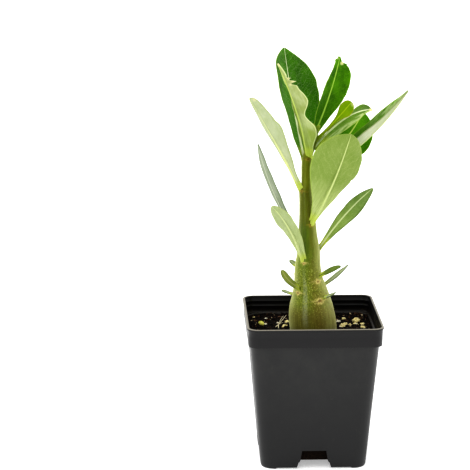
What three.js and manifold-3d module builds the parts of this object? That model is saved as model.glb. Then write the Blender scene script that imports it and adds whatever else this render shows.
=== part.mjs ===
// Desert rose seedling in a square nursery pot. Millimetres, +Z up, the front of the pot faces -Y.
import * as THREE from 'three';
import Module from 'manifold-3d';

const wasm = await Module();
wasm.setup();

// Pot: a common 4 inch square one
const LIP_WIDTH = 102;
const POT_HEIGHT = 112.3;
const LIP_DEPTH = 1.8;
const LIP_PROUD = 0.7;
const LIP_ROUNDING = 0.5;
const LIP_UNDERCUT = 0.3;
const LIP_INSET = 0.7;
const LIP_INNER_DROP = 1;
const BAND_HEIGHT = 14.5;
const BAND_DRAFT = 0.25;
const LEDGE_SLOPE = 0.3;
const WALL_TOP_WIDTH = 97;
const WALL_BOTTOM_WIDTH = 79.8;
const WALL = 1.2;
const FLOOR_UNDERSIDE = 5;
const FLOOR_TOP = 6.6;
const SKIRT_DRAFT = 0.6;
const BOTTOM_BEVEL = { inset: 1, rise: 2 };
const FOOT_WIDTH = 2.2;
const FOOT_LENGTH = 11.5;
const FOOT_HEIGHT = 1;
const LIP_CORNER = 8.5;
const BAND_CORNER = 8;
const WALL_TOP_CORNER = 12;
const WALL_BOTTOM_CORNER = 10;
const CORNER_STEPS = 6;

// Openings at the bottom of each wall: width below, width above, lower edge, upper edge
const CUT_PAST = 1;
const NOTCH = { below: 27, above: 23.4, low: -CUT_PAST, high: FLOOR_UNDERSIDE + 0.1 };
const DRAIN = { below: 20.7, above: 18.4, low: 6.9, high: 12.9 };
const BETWEEN_FEET = WALL_BOTTOM_WIDTH - 2 * FOOT_LENGTH;
const FOOT_GAP = { below: BETWEEN_FEET, above: BETWEEN_FEET, low: -CUT_PAST, high: FOOT_HEIGHT };

// Soil, with a top that rises and falls in a broad and a fine wave
const SOIL_LEVEL = 98.2;
const SOIL_GAP = 0.3;
const SOIL_RELIEF = 0.7;
const SOIL_WAVES = { broadX: 5.3, broadY: 6.1, fineX: 2.9, fineY: 3.7, fineShare: 0.5, shift: 1 };
const SOIL_SIDE_STEPS = 5;
const SOIL_RING_SHARES = [1, 0.9, 0.78, 0.66, 0.54, 0.42];

// Stem: height, centre across, radius. It swells into the caudex at the soil and bends over at the top.
const STEM = [
  [50, 0.6, 1.6], [58, 0.8, 4.2], [70, 1.0, 9.0], [82, 1.2, 13.6], [92, 1.3, 16.4],
  [97, 1.3, 17.5], [101, 1.1, 18.0], [107, 0.6, 18.0], [113, 0.0, 17.4], [119, -0.4, 16.3],
  [126, -0.7, 14.2], [134, -1.5, 12.2], [139, -2.3, 10.9], [145, -3.0, 10.2], [151, -3.1, 9.6],
  [157, -2.7, 8.9], [164, -2.8, 8.2], [172, -3.2, 7.2], [181, -3.6, 6.5], [190, -4.0, 5.9],
  [200, -4.6, 5.3], [207, -5.0, 5.0], [211, -4.6, 4.1], [219, -4.6, 4.0], [229, -4.6, 3.9],
  [234, -3.9, 3.8], [239.5, -1.6, 3.4], [244, 0, 3.1], [250, 1.4, 2.3], [254, 2.0, 1.5],
];
const STEM_SIDES = 20;
const STEM_END = 1;
const STEM_LOBES = { count: 5, depth: 0.012, turnHeight: 40 };
const SEAT_GAP = 0.3;

// Leaf scars on the stem: height, azimuth in degrees, radius
const SCARS = [
  [138, -55, 2.1], [129.5, -135, 2.1], [123.5, -50, 2.4], [149.5, -112, 1.7], [180.5, -62, 1.8],
  [206.5, -150, 1.5], [133, 40, 2.1], [125, 140, 2.2], [116, 95, 2.3], [152, 70, 1.8],
  [142, 165, 1.8], [160, 10, 1.6], [188, 100, 1.5], [170, -150, 1.6],
];
const SCAR_HEIGHT = 0.55;
const SCAR_SINK = 0.6;
const SCAR_FLATNESS = 0.75;
const SCAR_SIDES = 8;

// What all leaves have in common. A stalk thins out towards the tip, and so does its midrib.
const BLADE_THICKNESS = 0.8;
const SMALLEST_HALF_BLADE = 0.4;
const HALF_BLADE_SHARES = [0, 0.5, 1];
const STALK_ROOT = 0.5;
const STALK_TAPER = 0.85;
const RIB = { depth: 1.1, fade: 1.5, least: 0.15 };
const WAVE_SHIFT = 1.5;
const WAVE_CALM = { rise: 4, least: 0.2 };
const LEAF_ROWS = 12;
const SMALL_LEAF_ROWS = 6;

const UPPER_GREEN = '#2f6a12';
const UNDER_GREEN = '#a3bd66';
const PALE_GREEN = '#bccb93';
const YOUNG_GREEN = '#86a31c';

// Each leaf: the height and azimuth at which it leaves the stem, a point half way along its midrib,
// its tip, and the way its upper side faces. Each half of the blade, seen from above with the tip up, has
// its width, the place of that width along the midrib, how slowly it widens from the stalk and how pointed
// it ends. A left half can have its margin as rows instead, of place along the midrib and width, or be torn
// off at a share of its length. Fold is how far each half is bent up, in degrees.
const LEAVES = [
  {
    name: 'leaf_back_left', color: UPPER_GREEN, height: 228, azimuth: 140,
    middle: [-14.6, 14, 271], tip: [-21, 22, 312.3], upper: [0.65, -0.75, 0.1],
    left: [15, 0.84, 1.0, 0.5], right: [22.5, 0.64, 0.95, 0.98],
    fold: [16, 16], wave: 0.5, waves: 2.5, stalk: 1.7,
  },
  {
    name: 'leaf_curled', color: UNDER_GREEN, height: 231, azimuth: -80, rows: 24,
    middle: [-12.6, -14, 268], tip: [-27.9, -20, 305.9], upper: [0.93, 0.35, 0.1],
    edge: [
      [0, 0.6], [0.04, 2.2], [0.1, 5.2], [0.25, 10.4], [0.33, 12.8], [0.4, 12.8], [0.45, 8.2],
      [0.49, 6.2], [0.53, 7.6], [0.58, 11], [0.64, 14], [0.7, 13.4], [0.75, 10.6], [0.81, 7.5],
      [0.85, 3.2], [0.94, 1.8], [1, 0.4],
    ],
    right: [6, 0.5, 1.8, 0.9],
    fold: [20, 40], wave: 0.5, waves: 3.2, stalk: 1.9,
  },
  {
    name: 'leaf_back_right', color: UPPER_GREEN, height: 248.5, azimuth: 120,
    middle: [12.6, 12, 277], tip: [20.8, 18, 305.9], upper: [0.5, -0.85, 0.1],
    left: [6.5, 0.36, 1.1, 1.1], right: [12.6, 0.72, 1.4, 0.8], torn: 0.88,
    fold: [12, 12], wave: 0.4, waves: 2.5, stalk: 1.4,
  },
  {
    name: 'leaf_young', color: YOUNG_GREEN, height: 245, azimuth: -20,
    middle: [14.6, -8, 259.9], tip: [27.6, -12, 275.9], upper: [-0.3, -0.8, 0.5],
    left: [5, 0.82, 4.5, 0.5], right: [5.4, 0.82, 4.5, 0.5],
    fold: [5, 5], wave: 0.3, waves: 2, stalk: 1.1,
  },
  {
    name: 'leaf_recurved', color: UPPER_GREEN, height: 239.5, azimuth: -20,
    middle: [23.4, -6, 262.7], tip: [43.1, -9, 269.5], upper: [-0.3, -0.7, 0.7],
    left: [9.5, 0.8, 4, 0.9], right: [7.4, 0.48, 1.1, 1.2],
    fold: [-28, -28], wave: 0.4, waves: 2.5, stalk: 1.4,
  },
  {
    name: 'leaf_broad_right', color: UPPER_GREEN, height: 225, azimuth: 65,
    middle: [21.5, 17, 238.2], tip: [40, 29, 261.7], upper: [-0.05, -0.9, 0.4],
    left: [14, 0.64, 1.6, 0.66], right: [17, 0.66, 1.9, 0.66],
    fold: [5, 5], wave: 0.5, waves: 2.5, stalk: 1.6,
  },
  {
    name: 'leaf_long_right', color: PALE_GREEN, height: 219, azimuth: -12,
    middle: [38.6, 0, 244.8], tip: [70.2, -4, 283.1], upper: [-0.7, 0, 0.7],
    left: [11.4, 0.55, 1.4, 0.95], right: [8.4, 0.45, 1.2, 1.15],
    fold: [34, 44], wave: 0.3, waves: 2.5, stalk: 1.6,
  },
  {
    name: 'leaf_front', color: UNDER_GREEN, height: 180.5, azimuth: -60,
    middle: [14, -18, 217.5], tip: [25.8, -26, 254.3], upper: [-0.35, 0.9, 0.1],
    left: [16.7, 0.66, 1.85, 0.69], right: [21.4, 0.71, 1.7, 0.62],
    fold: [6, 6], wave: 0.4, waves: 2.5, stalk: 2,
  },
  {
    name: 'leaf_left_upper', color: PALE_GREEN, height: 205.5, azimuth: -165,
    middle: [-26.2, -6, 241.8], tip: [-47.9, -10, 279], upper: [0.95, 0.25, 0.3],
    left: [14.4, 0.68, 1.05, 0.35], right: [12.5, 0.6, 1.5, 0.55],
    fold: [32, 10], wave: 0.4, waves: 2.5, stalk: 1.7,
  },
  {
    name: 'leaf_left_narrow', color: UNDER_GREEN, height: 168, azimuth: 170,
    middle: [-27.5, 6, 202.5], tip: [-40.8, 10, 240.8], upper: [1, 0, 0.4],
    left: [7.4, 0.65, 1.2, 0.8], right: [6.5, 0.65, 1.2, 0.8],
    fold: [22, 22], wave: 0.2, waves: 2, stalk: 1.2,
  },
  {
    name: 'leaf_left_lower', color: PALE_GREEN, height: 149, azimuth: -120,
    middle: [-14.6, -14, 177.5], tip: [-31.5, -18, 199], upper: [0.6, 0.8, 0.2],
    left: [6.2, 0.67, 1.3, 0.7], right: [7.4, 0.7, 1.4, 0.6],
    fold: [4, 4], wave: 0.3, waves: 2.5, stalk: 1.9,
  },
  {
    name: 'leaf_right_lower', color: UNDER_GREEN, height: 158, azimuth: 25,
    middle: [22.8, 8, 184.2], tip: [47.1, 14, 205.3], upper: [-0.6, -0.7, 0.4],
    left: [4.4, 0.66, 1.8, 0.8], right: [6.4, 0.65, 1.5, 0.8],
    fold: [4, 4], wave: 0.3, waves: 2.5, stalk: 1.2,
  },
];

// The small first leaves left on the caudex, of one shape but for their size
const FIRST_LEAF = {
  color: UNDER_GREEN, fold: [12, 12], wave: 0.1, waves: 1.5, stalk: 0.8,
};
const smallBlade = (width, widest = 0.6, neck = 1.2, point = 0.7) => ({
  left: [width, widest, neck, point],
  right: [width, widest, neck, point],
});
const FIRST_LEAVES = [
  {
    name: 'caudex_leaf_1', height: 130, azimuth: -135, ...smallBlade(2.5, 0.66, 1.0, 0.5),
    middle: [-19, -13.8, 139.6], tip: [-24.4, -16, 149.4], upper: [0.35, -0.8, 0.45],
  },
  {
    name: 'caudex_leaf_2', height: 144, azimuth: 130, ...smallBlade(1.7),
    middle: [-12.6, 9.5, 147.3], tip: [-16.2, 12, 150.2], upper: [0.4, -0.6, 0.7],
  },
  {
    name: 'caudex_leaf_3', height: 124, azimuth: 165, ...smallBlade(1.5),
    middle: [-17.5, 6.5, 125.6], tip: [-22.5, 8, 127.3], upper: [0.2, -0.2, 0.9],
  },
  {
    name: 'caudex_leaf_4', height: 139, azimuth: -45, ...smallBlade(1.7),
    middle: [12.6, -9.8, 146.8], tip: [21, -12, 150.8], upper: [-0.4, -0.7, 0.6],
  },
  {
    name: 'caudex_leaf_5', height: 129, azimuth: 30, ...smallBlade(1.2, 0.5, 1.2, 1.0),
    middle: [18.8, 7.2, 138.2], tip: [28.2, 8, 146.9], upper: [-0.7, 0.1, 0.7],
  },
  {
    name: 'caudex_leaf_6', height: 124, azimuth: -50, ...smallBlade(1.1, 0.4, 1.0, 1.2),
    middle: [12.2, -14.5, 128.4], tip: [16.9, -16.5, 131.9], upper: [-0.4, -0.3, 0.9],
  },
];

// Unfolding leaves of the shoot tip, grown as one with the stem
const BUD = { stalk: 1.2, fold: [24, 24], wave: 0, waves: 1 };
const BUDS = [
  {
    height: 248, azimuth: -110, ...smallBlade(2.0, 0.6, 1.0, 0.8),
    middle: [0.5, -4.5, 255], tip: [-0.8, -6, 258.5], upper: [0.9, 0.2, 0],
  },
  {
    height: 249.5, azimuth: -80, ...smallBlade(1.8, 0.6, 1.0, 0.8),
    middle: [3.5, -4.5, 254.6], tip: [4.6, -5.5, 257.6], upper: [-0.7, 0.6, 0.2],
  },
];

// Stones and prills that show in the soil: across, back, size. The rest are strewn by a seeded draw.
const STONES = [
  [-37.9, 22, 5.2], [-41.6, 26, 2.6], [-33.3, 31.7, 2.2], [-34.2, 18.6, 2.2], [-16.9, 20.2, 4.2],
  [-19.6, 10.1, 4.0], [22.4, 18.8, 3.6], [24.3, 9.7, 5.0], [27.8, 30.4, 3.2], [27.6, 13.5, 3.6],
  [36.8, 24.7, 7.4], [35.6, 16.8, 4.2], [41.0, 15.7, 3.6], [40.0, 1.4, 4.2], [22.5, 7.6, 2.4],
];
const STREWN = { count: 18, seed: 7, edge: 6, clear: 22, least: 1.8, spread: 3 };
const STONE_SPREAD = { least: 0.85, spread: 0.3 };
const STONE_FLATNESS = 0.72;
const STONE_SINK = 0.06;

// The seeded draw is a Lehmer sequence
const DRAW_FACTOR = 16807;
const DRAW_MODULUS = 2147483647;

const materials = {
  pot: new THREE.MeshStandardMaterial({ color: '#2b2c2e', roughness: 0.5, metalness: 0 }),
  soil: new THREE.MeshStandardMaterial({ color: '#2a1c12', roughness: 1, metalness: 0 }),
  stem: new THREE.MeshStandardMaterial({ color: '#7d8236', roughness: 0.55, metalness: 0 }),
};

const radians = THREE.MathUtils.degToRad;

// Solids

function solidFrom(positions, triangles) {
  const mesh = new wasm.Mesh({
    numProp: 3,
    vertProperties: new Float32Array(positions),
    triVerts: new Uint32Array(triangles),
  });
  return new wasm.Manifold(mesh);
}

// A plain three.js geometry as a solid, with the points that its faces share made one
function solidFromGeometry(geometry) {
  const position = geometry.getAttribute('position');
  const places = new Map();
  const positions = [];
  const order = [];
  for (let index = 0; index < position.count; index += 1) {
    const point = new THREE.Vector3().fromBufferAttribute(position, index).toArray();
    const place = point.map((value) => value.toFixed(4)).join();
    if (!places.has(place)) {
      places.set(place, places.size);
      positions.push(...point);
    }
    order.push(places.get(place));
  }
  const corners = geometry.index ? Array.from(geometry.index.array, (index) => order[index]) : order;
  const triangles = [];
  for (let index = 0; index < corners.length; index += 3) {
    const [a, b, c] = corners.slice(index, index + 3);
    if (a !== b && b !== c && a !== c) {
      triangles.push(a, b, c);
    }
  }
  return solidFrom(positions, triangles);
}

// Rings of equal count, from the first to the last, closed by a fan at each end
function solidFromRings(rings, first, last) {
  const count = rings[0].length;
  const positions = [...first, ...rings.flat(2), ...last];
  const lastIndex = 1 + rings.length * count;
  const at = (ring, point) => 1 + ring * count + (point % count);
  const triangles = [];
  for (let point = 0; point < count; point += 1) {
    triangles.push(0, at(0, point + 1), at(0, point));
    triangles.push(lastIndex, at(rings.length - 1, point), at(rings.length - 1, point + 1));
  }
  for (let ring = 0; ring + 1 < rings.length; ring += 1) {
    for (let point = 0; point < count; point += 1) {
      triangles.push(at(ring, point), at(ring, point + 1), at(ring + 1, point + 1));
      triangles.push(at(ring, point), at(ring + 1, point + 1), at(ring + 1, point));
    }
  }
  return solidFrom(positions, triangles);
}

function namedMesh(name, solid, material) {
  const { vertProperties, triVerts } = solid.getMesh();
  const geometry = new THREE.BufferGeometry();
  geometry.setAttribute('position', new THREE.BufferAttribute(new Float32Array(vertProperties), 3));
  geometry.setIndex(Array.from(triVerts));
  geometry.computeVertexNormals();
  const mesh = new THREE.Mesh(geometry, material);
  mesh.name = name;
  return mesh;
}

// Pot: one moulded shell, with a step in the wall for the band, feet, notches and drain slots

const bandBottom = POT_HEIGHT - BAND_HEIGHT;
const wallWidthAt = (z) => THREE.MathUtils.lerp(WALL_BOTTOM_WIDTH, WALL_TOP_WIDTH, z / bandBottom);
const wallCornerAt = (z) => THREE.MathUtils.lerp(WALL_BOTTOM_CORNER, WALL_TOP_CORNER, z / bandBottom);

// A square with round corners, seen from above, anticlockwise, with its straight sides in one or more steps
function roundedSquare(width, corner, z, sideSteps = 1) {
  const points = [];
  const inset = width / 2 - corner;
  for (let side = 0; side < 4; side += 1) {
    const start = radians(90 * side);
    const middle = start + Math.PI / 4;
    const centreX = Math.sign(Math.cos(middle)) * inset;
    const centreY = Math.sign(Math.sin(middle)) * inset;
    for (let step = 0; step <= CORNER_STEPS; step += 1) {
      const angle = start + (Math.PI / 2) * (step / CORNER_STEPS);
      points.push([centreX + corner * Math.cos(angle), centreY + corner * Math.sin(angle), z]);
    }
    const [endX, endY] = points.at(-1);
    for (let step = 1; step < sideSteps; step += 1) {
      const way = (2 * inset * step) / sideSteps;
      points.push([endX - way * Math.cos(start), endY - way * Math.sin(start), z]);
    }
  }
  return points;
}

// An upright wedge of plain outline that runs through the pot along Y
function cutter({ below, above, low, high }) {
  const outline = new THREE.Shape([
    new THREE.Vector2(-below / 2, low),
    new THREE.Vector2(below / 2, low),
    new THREE.Vector2(above / 2, high),
    new THREE.Vector2(-above / 2, high),
  ]);
  const wedge = new THREE.ExtrudeGeometry(outline, { depth: LIP_WIDTH, bevelEnabled: false });
  wedge.rotateX(Math.PI / 2);
  wedge.translate(0, LIP_WIDTH / 2, 0);
  return solidFromGeometry(wedge);
}

function potSolid() {
  const bandWidth = LIP_WIDTH - 2 * LIP_PROUD;
  const lipBottom = POT_HEIGHT - LIP_DEPTH;
  const ledge = bandBottom + WALL;
  const wallRing = (z, inset) => roundedSquare(wallWidthAt(z) - 2 * inset, wallCornerAt(z) - inset, z);
  const bandRing = (z, inset) => roundedSquare(bandWidth - 2 * inset, BAND_CORNER - inset, z);
  const lipRing = (z, inset) => roundedSquare(LIP_WIDTH - 2 * inset, LIP_CORNER - inset, z);
  const rings = [
    wallRing(FLOOR_UNDERSIDE, WALL + SKIRT_DRAFT),
    wallRing(0, BOTTOM_BEVEL.inset + FOOT_WIDTH),
    wallRing(0, BOTTOM_BEVEL.inset),
    wallRing(BOTTOM_BEVEL.rise, 0),
    wallRing(bandBottom, 0),
    bandRing(bandBottom, BAND_DRAFT),
    bandRing(lipBottom, 0),
    lipRing(lipBottom + LIP_UNDERCUT, 0),
    lipRing(POT_HEIGHT - LIP_ROUNDING, 0),
    lipRing(POT_HEIGHT, LIP_ROUNDING),
    bandRing(POT_HEIGHT, LIP_INSET),
    bandRing(POT_HEIGHT - LIP_INNER_DROP, WALL),
    bandRing(ledge + LEDGE_SLOPE, WALL + BAND_DRAFT),
    wallRing(ledge, WALL),
    wallRing(FLOOR_TOP, WALL),
  ];
  const shell = solidFromRings(rings, [0, 0, FLOOR_UNDERSIDE], [0, 0, FLOOR_TOP]);
  return [NOTCH, DRAIN, FOOT_GAP]
    .map(cutter)
    .flatMap((cut) => [cut, cut.rotate([0, 0, 90])])
    .reduce((pot, cut) => pot.subtract(cut), shell);
}

// Stem

// The other columns of rows at a place between two of them. The first column is the place.
function between(rows, place) {
  const after = Math.max(1, rows.findIndex((row) => row[0] >= place));
  const [from, to] = [rows[after - 1], rows[after]];
  const part = (place - from[0]) / (to[0] - from[0]);
  return from.slice(1).map((value, column) => THREE.MathUtils.lerp(value, to[column + 1], part));
}

// A point at a share of the stem's radius, at a height and azimuth
function onStem(height, azimuth, share) {
  const [across, radius] = between(STEM, height);
  const reach = share * radius;
  const angle = radians(azimuth);
  return new THREE.Vector3(across + reach * Math.cos(angle), reach * Math.sin(angle), height);
}

function stemRing([height, across, radius], grow) {
  const ring = [];
  for (let side = 0; side < STEM_SIDES; side += 1) {
    const angle = (2 * Math.PI * side) / STEM_SIDES;
    const lobe = Math.sin(STEM_LOBES.count * angle + height / STEM_LOBES.turnHeight);
    const reach = radius * (1 + STEM_LOBES.depth * lobe) + grow;
    ring.push([across + reach * Math.cos(angle), reach * Math.sin(angle), height]);
  }
  return ring;
}

function scarSolid([height, azimuth, size], grow) {
  const scar = new THREE.SphereGeometry(1, SCAR_SIDES, SCAR_SIDES / 2);
  const centre = onStem(height, azimuth, 1);
  const angle = radians(azimuth);
  scar.rotateX(Math.PI / 2);
  scar.scale(SCAR_HEIGHT + SCAR_SINK + grow, size + grow, SCAR_FLATNESS * size + grow);
  scar.rotateZ(angle);
  scar.translate(centre.x - SCAR_SINK * Math.cos(angle), centre.y - SCAR_SINK * Math.sin(angle), centre.z);
  return solidFromGeometry(scar);
}

// The stem with its scars, grown all round where it is used to cut a seat in its neighbours
function stemSolid(grow) {
  const rings = STEM.map((row) => stemRing(row, grow));
  const [bottomHeight, bottomAcross] = STEM[0];
  const [topHeight, topAcross] = STEM.at(-1);
  const bottom = [bottomAcross, 0, bottomHeight - STEM_END - grow];
  const top = [topAcross, 0, topHeight + STEM_END + grow];
  const trunk = solidFromRings(rings, bottom, top);
  return SCARS.map((scar) => scarSolid(scar, grow)).reduce((stem, scar) => stem.add(scar), trunk);
}

// Leaves

// Columns of the blade from the left margin over the midrib to the right margin
const BLADE_COLUMNS = [
  ...HALF_BLADE_SHARES.toReversed().map((share) => ({ side: -1, share })),
  { side: 0, share: 0 },
  ...HALF_BLADE_SHARES.map((share) => ({ side: 1, share })),
];

// Places along the midrib, closer together towards the tip
function easedRows(rows) {
  const parts = Array.from({ length: rows + 1 }, (_, row) => row / rows);
  return parts.map((part) => (part + Math.sin((Math.PI / 2) * part)) / 2);
}

function halfBlade([width, widest, neck, point], t) {
  const part = t < widest ? t / widest : (1 - t) / (1 - widest);
  const power = t < widest ? neck : point;
  return width * Math.sin((Math.PI / 2) * Math.max(part, 0) ** power) + SMALLEST_HALF_BLADE;
}

function halfWidth(leaf, side, t) {
  if (side > 0) {
    return halfBlade(leaf.right, t);
  }
  return leaf.edge ? between(leaf.edge, t)[0] : halfBlade(leaf.left, t * (leaf.torn ?? 1));
}

// Where a column lies at a place along the midrib, along the blade's width and above its plane
function bladePoint(leaf, t, { side, share }, stalk) {
  if (side === 0) {
    return { across: 0, lift: 0 };
  }
  const turn = 2 * Math.PI * leaf.waves * t;
  const reach = stalk + share * halfWidth(leaf, side, t);
  const calm = Math.min(1, WAVE_CALM.rise * Math.min(t, 1 - t) + WAVE_CALM.least);
  const wave = leaf.wave * share ** 2 * calm * Math.sin(turn + (side < 0 ? WAVE_SHIFT : 0));
  const fold = radians(leaf.fold[side < 0 ? 0 : 1]);
  return { across: side * reach * Math.cos(fold), lift: reach * Math.sin(fold) + wave };
}

// Closes two grids of points to a solid. Both faces are split into triangles alike.
function bladeSolid(upper, lower, rows) {
  const columns = upper.length / rows;
  const positions = [...upper, ...lower].flatMap((point) => point.toArray());
  const top = (row, column) => row * columns + column;
  const under = (row, column) => upper.length + row * columns + column;
  const triangles = [];
  const quad = (a, b, c, d) => triangles.push(a, b, c, a, c, d);
  for (let row = 0; row + 1 < rows; row += 1) {
    for (let column = 0; column + 1 < columns; column += 1) {
      quad(top(row, column), top(row, column + 1), top(row + 1, column + 1), top(row + 1, column));
      triangles.push(under(row, column), under(row + 1, column + 1), under(row, column + 1));
      triangles.push(under(row, column), under(row + 1, column), under(row + 1, column + 1));
    }
    const last = columns - 1;
    quad(under(row, 0), top(row, 0), top(row + 1, 0), under(row + 1, 0));
    quad(top(row, last), under(row, last), under(row + 1, last), top(row + 1, last));
  }
  for (let column = 0; column + 1 < columns; column += 1) {
    const last = rows - 1;
    quad(under(0, column), under(0, column + 1), top(0, column + 1), top(0, column));
    quad(top(last, column), top(last, column + 1), under(last, column + 1), under(last, column));
  }
  return solidFrom(positions, triangles);
}

// A closed blade, folded along its midrib, with the rib raised below it
function leafSolid(leaf, rows) {
  const base = onStem(leaf.height, leaf.azimuth, STALK_ROOT);
  const tip = new THREE.Vector3(...leaf.tip);
  const middle = new THREE.Vector3(...leaf.middle);
  const control = middle.clone().multiplyScalar(2).addScaledVector(base, -0.5).addScaledVector(tip, -0.5);
  const midrib = new THREE.QuadraticBezierCurve3(base, control, tip);
  const upper = [];
  const lower = [];
  for (const t of easedRows(rows)) {
    const point = midrib.getPoint(t);
    const along = midrib.getTangent(t);
    const facing = new THREE.Vector3(...leaf.upper);
    facing.addScaledVector(along, -facing.dot(along)).normalize();
    const sideways = along.clone().cross(facing);
    const stalk = leaf.stalk * (1 - STALK_TAPER * t);
    const ribDepth = leaf.stalk * (RIB.depth * (1 - t) ** RIB.fade + RIB.least);
    for (const column of BLADE_COLUMNS) {
      const { across, lift } = bladePoint(leaf, t, column, stalk);
      const centre = point.clone().addScaledVector(sideways, across).addScaledVector(facing, lift);
      const depth = BLADE_THICKNESS / 2 + (column.side === 0 ? ribDepth : 0);
      upper.push(centre.clone().addScaledVector(facing, BLADE_THICKNESS / 2));
      lower.push(centre.clone().addScaledVector(facing, -depth));
    }
  }
  return bladeSolid(upper, lower, rows + 1);
}

// Soil: fills the pot, with a rough top, stones half sunk in it and a hole that the caudex stands in

function seededDraw(seed) {
  let state = seed;
  return () => {
    state = (state * DRAW_FACTOR) % DRAW_MODULUS;
    return state / DRAW_MODULUS;
  };
}

function soilHeight(x, y) {
  const { broadX, broadY, fineX, fineY, fineShare, shift } = SOIL_WAVES;
  const broad = Math.sin(x / broadX + shift) * Math.cos(y / broadY);
  const fine = Math.sin(x / fineX + y / fineY);
  return SOIL_LEVEL + SOIL_RELIEF * (broad + fineShare * fine);
}

function stoneSolid([x, y, size], draw) {
  const stone = new THREE.IcosahedronGeometry(size / 2, 0);
  const stretch = () => STONE_SPREAD.least + STONE_SPREAD.spread * draw();
  stone.scale(stretch(), stretch(), STONE_FLATNESS);
  stone.rotateZ(Math.PI * draw());
  stone.translate(x, y, soilHeight(x, y) - STONE_SINK * size);
  return solidFromGeometry(stone);
}

function strewnStones(draw) {
  const reach = WALL_TOP_WIDTH / 2 - STREWN.edge;
  const place = () => reach * (2 * draw() - 1);
  const stones = [];
  while (stones.length < STREWN.count) {
    const stone = [place(), place(), STREWN.least + STREWN.spread * draw() ** 2];
    if (Math.hypot(stone[0], stone[1]) > STREWN.clear) {
      stones.push(stone);
    }
  }
  return stones;
}

function soilSolid(seat) {
  const ring = (z, share) => {
    const width = wallWidthAt(z) - 2 * (WALL + SOIL_GAP);
    const corner = wallCornerAt(z) - WALL;
    return roundedSquare(width * share, corner * share, z, SOIL_SIDE_STEPS);
  };
  const roughRing = (share) => ring(SOIL_LEVEL, share).map(([x, y]) => [x, y, soilHeight(x, y)]);
  const bottom = FLOOR_TOP + SOIL_GAP;
  const rings = [ring(bottom, 1), ...SOIL_RING_SHARES.map(roughRing)];
  const fill = solidFromRings(rings, [0, 0, bottom], [0, 0, SOIL_LEVEL]);
  const draw = seededDraw(STREWN.seed);
  const stones = [...STONES, ...strewnStones(draw)].map((stone) => stoneSolid(stone, draw));
  const bed = stones.reduce((soil, stone) => soil.add(stone), fill);
  return bed.subtract(seat);
}

// Assembly

const seat = stemSolid(SEAT_GAP);
const buds = BUDS.map((bud) => leafSolid({ ...BUD, ...bud }, SMALL_LEAF_ROWS));
const stem = buds.reduce((shoot, bud) => shoot.add(bud), stemSolid(0));

const plant = new THREE.Group();
plant.add(namedMesh('pot', potSolid(), materials.pot));
plant.add(namedMesh('soil', soilSolid(seat), materials.soil));
plant.add(namedMesh('stem', stem, materials.stem));

function addLeaf(leaf, rows) {
  const material = new THREE.MeshStandardMaterial({ color: leaf.color, roughness: 0.45, metalness: 0 });
  plant.add(namedMesh(leaf.name, leafSolid(leaf, rows).subtract(seat), material));
}

LEAVES.forEach((leaf) => addLeaf(leaf, leaf.rows ?? LEAF_ROWS));
FIRST_LEAVES.forEach((leaf) => addLeaf({ ...FIRST_LEAF, ...leaf }, SMALL_LEAF_ROWS));

// The origin lies on the ground under the middle of the whole outline
const outline = new THREE.Box3().setFromObject(plant);
const centre = outline.getCenter(new THREE.Vector3());
plant.position.set(-centre.x, -centre.y, 0);

const group = new THREE.Group();
group.add(plant);

export default group;
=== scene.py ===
# Young desert rose in a square nursery pot: fine shapes, materials, light and camera over the plain solids
import math
import random

import bpy
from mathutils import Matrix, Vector, noise


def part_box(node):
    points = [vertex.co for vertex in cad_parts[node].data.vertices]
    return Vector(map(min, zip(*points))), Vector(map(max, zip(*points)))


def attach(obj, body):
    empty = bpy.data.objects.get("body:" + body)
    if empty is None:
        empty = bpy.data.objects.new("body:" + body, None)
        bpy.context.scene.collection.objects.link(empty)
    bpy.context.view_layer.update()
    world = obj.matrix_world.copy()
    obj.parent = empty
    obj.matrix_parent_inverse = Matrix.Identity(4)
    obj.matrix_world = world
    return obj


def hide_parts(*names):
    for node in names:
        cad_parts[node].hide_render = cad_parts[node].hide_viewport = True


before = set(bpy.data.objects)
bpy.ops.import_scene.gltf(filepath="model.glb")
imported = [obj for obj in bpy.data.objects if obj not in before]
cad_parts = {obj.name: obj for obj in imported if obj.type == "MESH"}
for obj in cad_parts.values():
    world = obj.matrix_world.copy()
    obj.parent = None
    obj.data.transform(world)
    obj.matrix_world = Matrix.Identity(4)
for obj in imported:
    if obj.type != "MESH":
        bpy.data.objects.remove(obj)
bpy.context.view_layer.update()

# Lengths below are millimetres counted from the middle of the pot on the ground, as in the part's source
MM = 0.001
POT_LOW, POT_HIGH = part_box("pot")
POT_MIDDLE = (POT_LOW + POT_HIGH) / 2


def at(x, y, z):
    """A point in metres in the frame, from millimetres counted from the pot's middle on the ground."""
    return (POT_MIDDLE.x + x * MM, POT_MIDDLE.y + y * MM, z * MM)


# Pot
LIP_WIDTH = 102
POT_HEIGHT = 112.3
LIP_DEPTH = 1.8
LIP_PROUD = 0.7
LIP_ROUNDING = 0.6
ROUNDING_STEPS = 4
BAND_HEIGHT = 14.5
BAND_DRAFT = 0.25
BAND_MIDDLE = 7
BAND_BOTTOM = POT_HEIGHT - BAND_HEIGHT
WALL_TOP_WIDTH = 97
WALL_BOTTOM_WIDTH = 79.8
WALL_HEIGHTS = (12, 30, 50, 70, 88)
WALL = 1.2
LEDGE = BAND_BOTTOM + WALL
FLOOR_UNDERSIDE = 5
FLOOR_TOP = 6.6
SKIRT_DRAFT = 0.6
BOTTOM_BEVEL = (1, 2)
FOOT_WIDTH = 2.2
FOOT_LENGTH = 11.5
FOOT_HEIGHT = 1
LIP_CORNER = 8.5
BAND_CORNER = 8
WALL_TOP_CORNER = 12
WALL_BOTTOM_CORNER = 10
CORNER_STEPS = 14
SIDE_STEPS = 6
CUT_ROUNDING = 0.3
ROUNDED_FROM, SHARP_FROM = 50, 48
BETWEEN_FEET = WALL_BOTTOM_WIDTH - 2 * FOOT_LENGTH

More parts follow.
